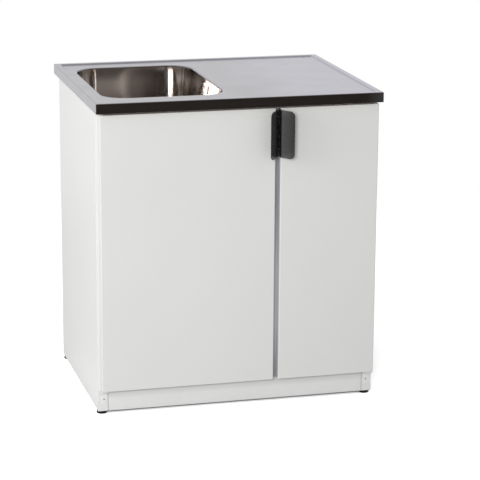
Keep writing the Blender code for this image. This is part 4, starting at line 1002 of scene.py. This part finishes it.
for side, outward in zip(SIDES, (-1, 1)):
    door_low, door_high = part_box(f"{side}_door_panel")
    grip_low, grip_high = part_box(f"{side}_handle")
    edge = door_high.x if side == "left" else door_low.x
    bm = wing_plate(edge, outward, door_low.y, grip_low.z, grip_high.z)
    handle = piece(f"{side}_wing_handle", bm, charcoal_plastic)
    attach(handle, f"{side}_door")
    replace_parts(handle, f"{side}_handle")
    for place_name in ("upper", "lower"):
        screw = domed_screw(f"{side}_handle_screw_{place_name}", f"{side}_handle_fixing_{place_name}",
                            "X", -outward, zinc_plate)
        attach(screw, f"{side}_door")


# Door catches: magnet blocks on both faces of the partition, and thin steel strikes on the doors.
# They are small bought-in fittings, to be seen when a door stands open.
for side in SIDES:
    dress(charcoal_plastic, f"{side}_catch")
    dress(zinc_plate, f"{side}_strike_plate")


# Levelling feet: moulded rubber pads on threaded studs, turned by hand to level the unit.
# The studs run in holes bored up into the side panels.
PAD_TAPER = 0.0012
PAD_HEIGHT = 0.009
PAD_SOFT = 0.0009
PAD_STEPS = 48
STUD = 0.004
RIDGE_FOOT, RIDGE_HEAD, RIDGE_RISE = 0.004, 0.003, 0.0006
for place_name in ("front_left", "front_right", "rear_left", "rear_right"):
    low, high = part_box(f"foot_{place_name}")
    pad = (high.x - low.x) / 2
    profile = [(0, low.z), (pad - PAD_TAPER, low.z), (pad, low.z + 2 * PAD_TAPER),
               (pad - PAD_TAPER, PAD_HEIGHT), (STUD + RIDGE_FOOT, PAD_HEIGHT),
               (STUD + RIDGE_HEAD, PAD_HEIGHT + RIDGE_RISE), (STUD, PAD_HEIGHT + RIDGE_RISE),
               (STUD, high.z), (0, high.z)]
    bm = turned(profile, axis_spot(f"foot_{place_name}", "Z"), "Z", PAD_STEPS, PAD_SOFT)
    pad_foot = piece(f"levelling_{place_name}", bm, black_rubber)
    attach(pad_foot, f"{place_name}_foot")
    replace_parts(pad_foot, f"foot_{place_name}")


# Studio: a white floor that keeps the object's shadow, with a painted shadow that greys it under the plinth,
# and a white surround, with the dark room behind the camera left for the steel to mirror.
FLOOR_RADIUS = 2.4
FLOOR_SIDES = 96
FLOOR_SEEN = 2.5
FLOOR_PAINTED_SHADOW = 1.0
FLOOR_MIRRORED = 1.2
FLOOR_LIT = 0.55
UNDER_MARGIN = 0.022
floor_mesh = bpy.data.meshes.new("studio_floor")
bm = bmesh.new()
bmesh.ops.create_circle(bm, cap_ends=True, segments=FLOOR_SIDES, radius=FLOOR_RADIUS)
bm.to_mesh(floor_mesh)
bm.free()
floor = bpy.data.objects.new("studio_floor", floor_mesh)
bpy.context.scene.collection.objects.link(floor)
white_floor = bpy.data.materials.new("white_floor")
white_floor.use_nodes = True
white_floor.node_tree.nodes.clear()
add = partial(add_node, white_floor.node_tree)
ray = add("LightPath").outputs
mirrored = add("Math", {0: ray["Is Glossy Ray"], 1: ray["Is Transmission Ray"]}, operation="MAXIMUM")
unseen = add("Mix", {0: mirrored, 2: FLOOR_LIT, 3: FLOOR_MIRRORED}, data_type="FLOAT")
axes = add("SeparateXYZ", {"Vector": add("TexCoord").outputs["Object"]}).outputs
# Painted shadow: to the camera, the floor under the plinth is darker.
under_width = add("Math", {0: axes["X"], 1: 0.0, 2: plinth_high.x}, operation="COMPARE")
under_depth = add("Math", {0: axes["Y"], 1: 0.0, 2: -plinth_low.y - UNDER_MARGIN}, operation="COMPARE")
under = add("Math", {0: under_width, 1: under_depth})
seen = add("Mix", {0: under, 2: FLOOR_SEEN, 3: FLOOR_PAINTED_SHADOW}, data_type="FLOAT")
colour = add("Mix", {0: ray["Is Camera Ray"], 2: unseen, 3: seen}, data_type="FLOAT")
cover = add("BsdfDiffuse", {"Color": colour})
add("OutputMaterial", {"Surface": cover})
floor_mesh.materials.append(white_floor)

# Surround: white to the eye. What metal mirrors runs from a warm dark behind the camera to white at the
# backdrop. Seen twice mirrored, from inside the bowl, two lamp-lit patches of the backdrop draw the
# streaks, and the room behind the camera is paler. Patches are given as slopes: middle and half width.
AMBIENT = "#AEAEAE"
BACKDROP = "#F9F9F9"
ROOM_BEHIND_CAMERA = "#7E736A"
DARK_UNTIL, WHITE_FROM = -0.6, 0.5
PATCHES = ((-0.345, 0.275), (0.415, 0.075))
PATCH_RISE, PATCH_HALF_HEIGHT = 0.20, 0.085
PATCH_LEVEL = 36.0
BEHIND_FROM, BEHIND_FULL, BEHIND_LEVEL = -0.10, -0.35, 2.0
ONE_MIRROR = 1.5
world = bpy.data.worlds.new("studio")
bpy.context.scene.world = world
world.use_nodes = True
world.node_tree.nodes.clear()
add = partial(add_node, world.node_tree)
ray = add("LightPath").outputs
way = add("TexCoord").outputs["Generated"]
axes = add("SeparateXYZ", {"Vector": way}).outputs
forward = add("MapRange", {"Value": axes["Y"], "From Min": DARK_UNTIL, "From Max": WHITE_FROM})
room = add("Mix", {0: forward, 6: ROOM_BEHIND_CAMERA, 7: BACKDROP})
across = add("Math", {0: axes["X"], 1: axes["Y"]}, operation="DIVIDE")
rise = add("Math", {0: axes["Z"], 1: axes["Y"]}, operation="DIVIDE")
near_width, far_width = [add("Math", {0: across, 1: middle, 2: half}, operation="COMPARE")
                         for middle, half in PATCHES]
patch_width = add("Math", {0: near_width, 1: far_width}, operation="MAXIMUM")
patch_height = add("Math", {0: rise, 1: PATCH_RISE, 2: PATCH_HALF_HEIGHT}, operation="COMPARE")
ahead = add("Math", {0: axes["Y"], 1: 0.0}, operation="GREATER_THAN")
twice = add("Math", {0: ray["Glossy Depth"], 1: ONE_MIRROR}, operation="GREATER_THAN")
patch = add("Math", {0: patch_width, 1: patch_height})
patch = add("Math", {0: patch, 1: ahead})
behind = add("MapRange", {"Value": axes["Y"], "From Min": BEHIND_FROM, "From Max": BEHIND_FULL,
                          "To Max": BEHIND_LEVEL})
lit = add("Math", {0: patch, 1: PATCH_LEVEL, 2: behind}, operation="MULTIPLY_ADD")
glow = add("Math", {0: lit, 1: twice})
studio = add("Mix", {0: 1.0, 6: room, 7: glow}, blend_type="ADD")
mirrored = add("Math", {0: ray["Is Glossy Ray"], 1: ray["Is Transmission Ray"]}, operation="MAXIMUM")
unseen = add("Mix", {0: mirrored, 6: AMBIENT, 7: studio})
shown = add("Mix", {0: ray["Is Camera Ray"], 6: unseen, 7: (1, 1, 1, 1)})
light = add("Background", {"Color": shown, "Strength": 1.0})
add("OutputWorld", {"Surface": light})

# Lamps: a softbox beside the camera for the doors, and two beside the left panel, the larger one further
# back. The steel mirrors the surround, not the lamps, so that it keeps its tone from every side.
# Each has its place, what it is turned to, its width and height in metres and its watts.
LAMPS = (
    ("key_softbox", (-1.5, -4.15, 1.8), (0.0, 0.0, 0.45), 0.9, 0.9, 87),
    ("side_softbox", (-3.3, -1.5, 1.75), (0.0, 0.0, 0.7), 1.0, 1.2, 24),
    ("rear_side_softbox", (-3.3, -0.3, 1.35), (0.0, 0.0, 0.6), 1.6, 1.6, 23),
)
for name, spot, target, width, height, watts in LAMPS:
    lamp = bpy.data.lights.new(name, "AREA")
    lamp.shape, lamp.size, lamp.size_y, lamp.energy = "RECTANGLE", width, height, watts
    stand = bpy.data.objects.new(name, lamp)
    bpy.context.scene.collection.objects.link(stand)
    stand.location = spot
    stand.visible_glossy = False
    stand.rotation_euler = (Vector(target) - Vector(spot)).to_track_quat("-Z", "Y").to_euler()

# Camera: the photograph's own viewpoint, found from the worktop's and the doors' edges.
CAMERA_PLACE = (-1.4176, -5.6191, 1.9067)
CAMERA_AZIMUTH = math.radians(-14.908)
CAMERA_ELEVATION = math.radians(14.496)
CAMERA_ROLL = math.radians(0.398)
CAMERA_LENS, SENSOR_WIDTH = 155.77, 36.0
CAMERA_REACH = 50.0
lens = bpy.data.cameras.new("photograph")
lens.sensor_width, lens.lens, lens.clip_end = SENSOR_WIDTH, CAMERA_LENS, CAMERA_REACH
camera = bpy.data.objects.new("photograph", lens)
bpy.context.scene.collection.objects.link(camera)
camera.matrix_world = (Matrix.Translation(CAMERA_PLACE) @ Matrix.Rotation(CAMERA_AZIMUTH, 4, "Z")
                       @ Matrix.Rotation(math.pi / 2 - CAMERA_ELEVATION, 4, "X")
                       @ Matrix.Rotation(CAMERA_ROLL, 4, "Z"))
bpy.context.scene.camera = camera
bpy.context.scene.view_settings.view_transform = "Standard"
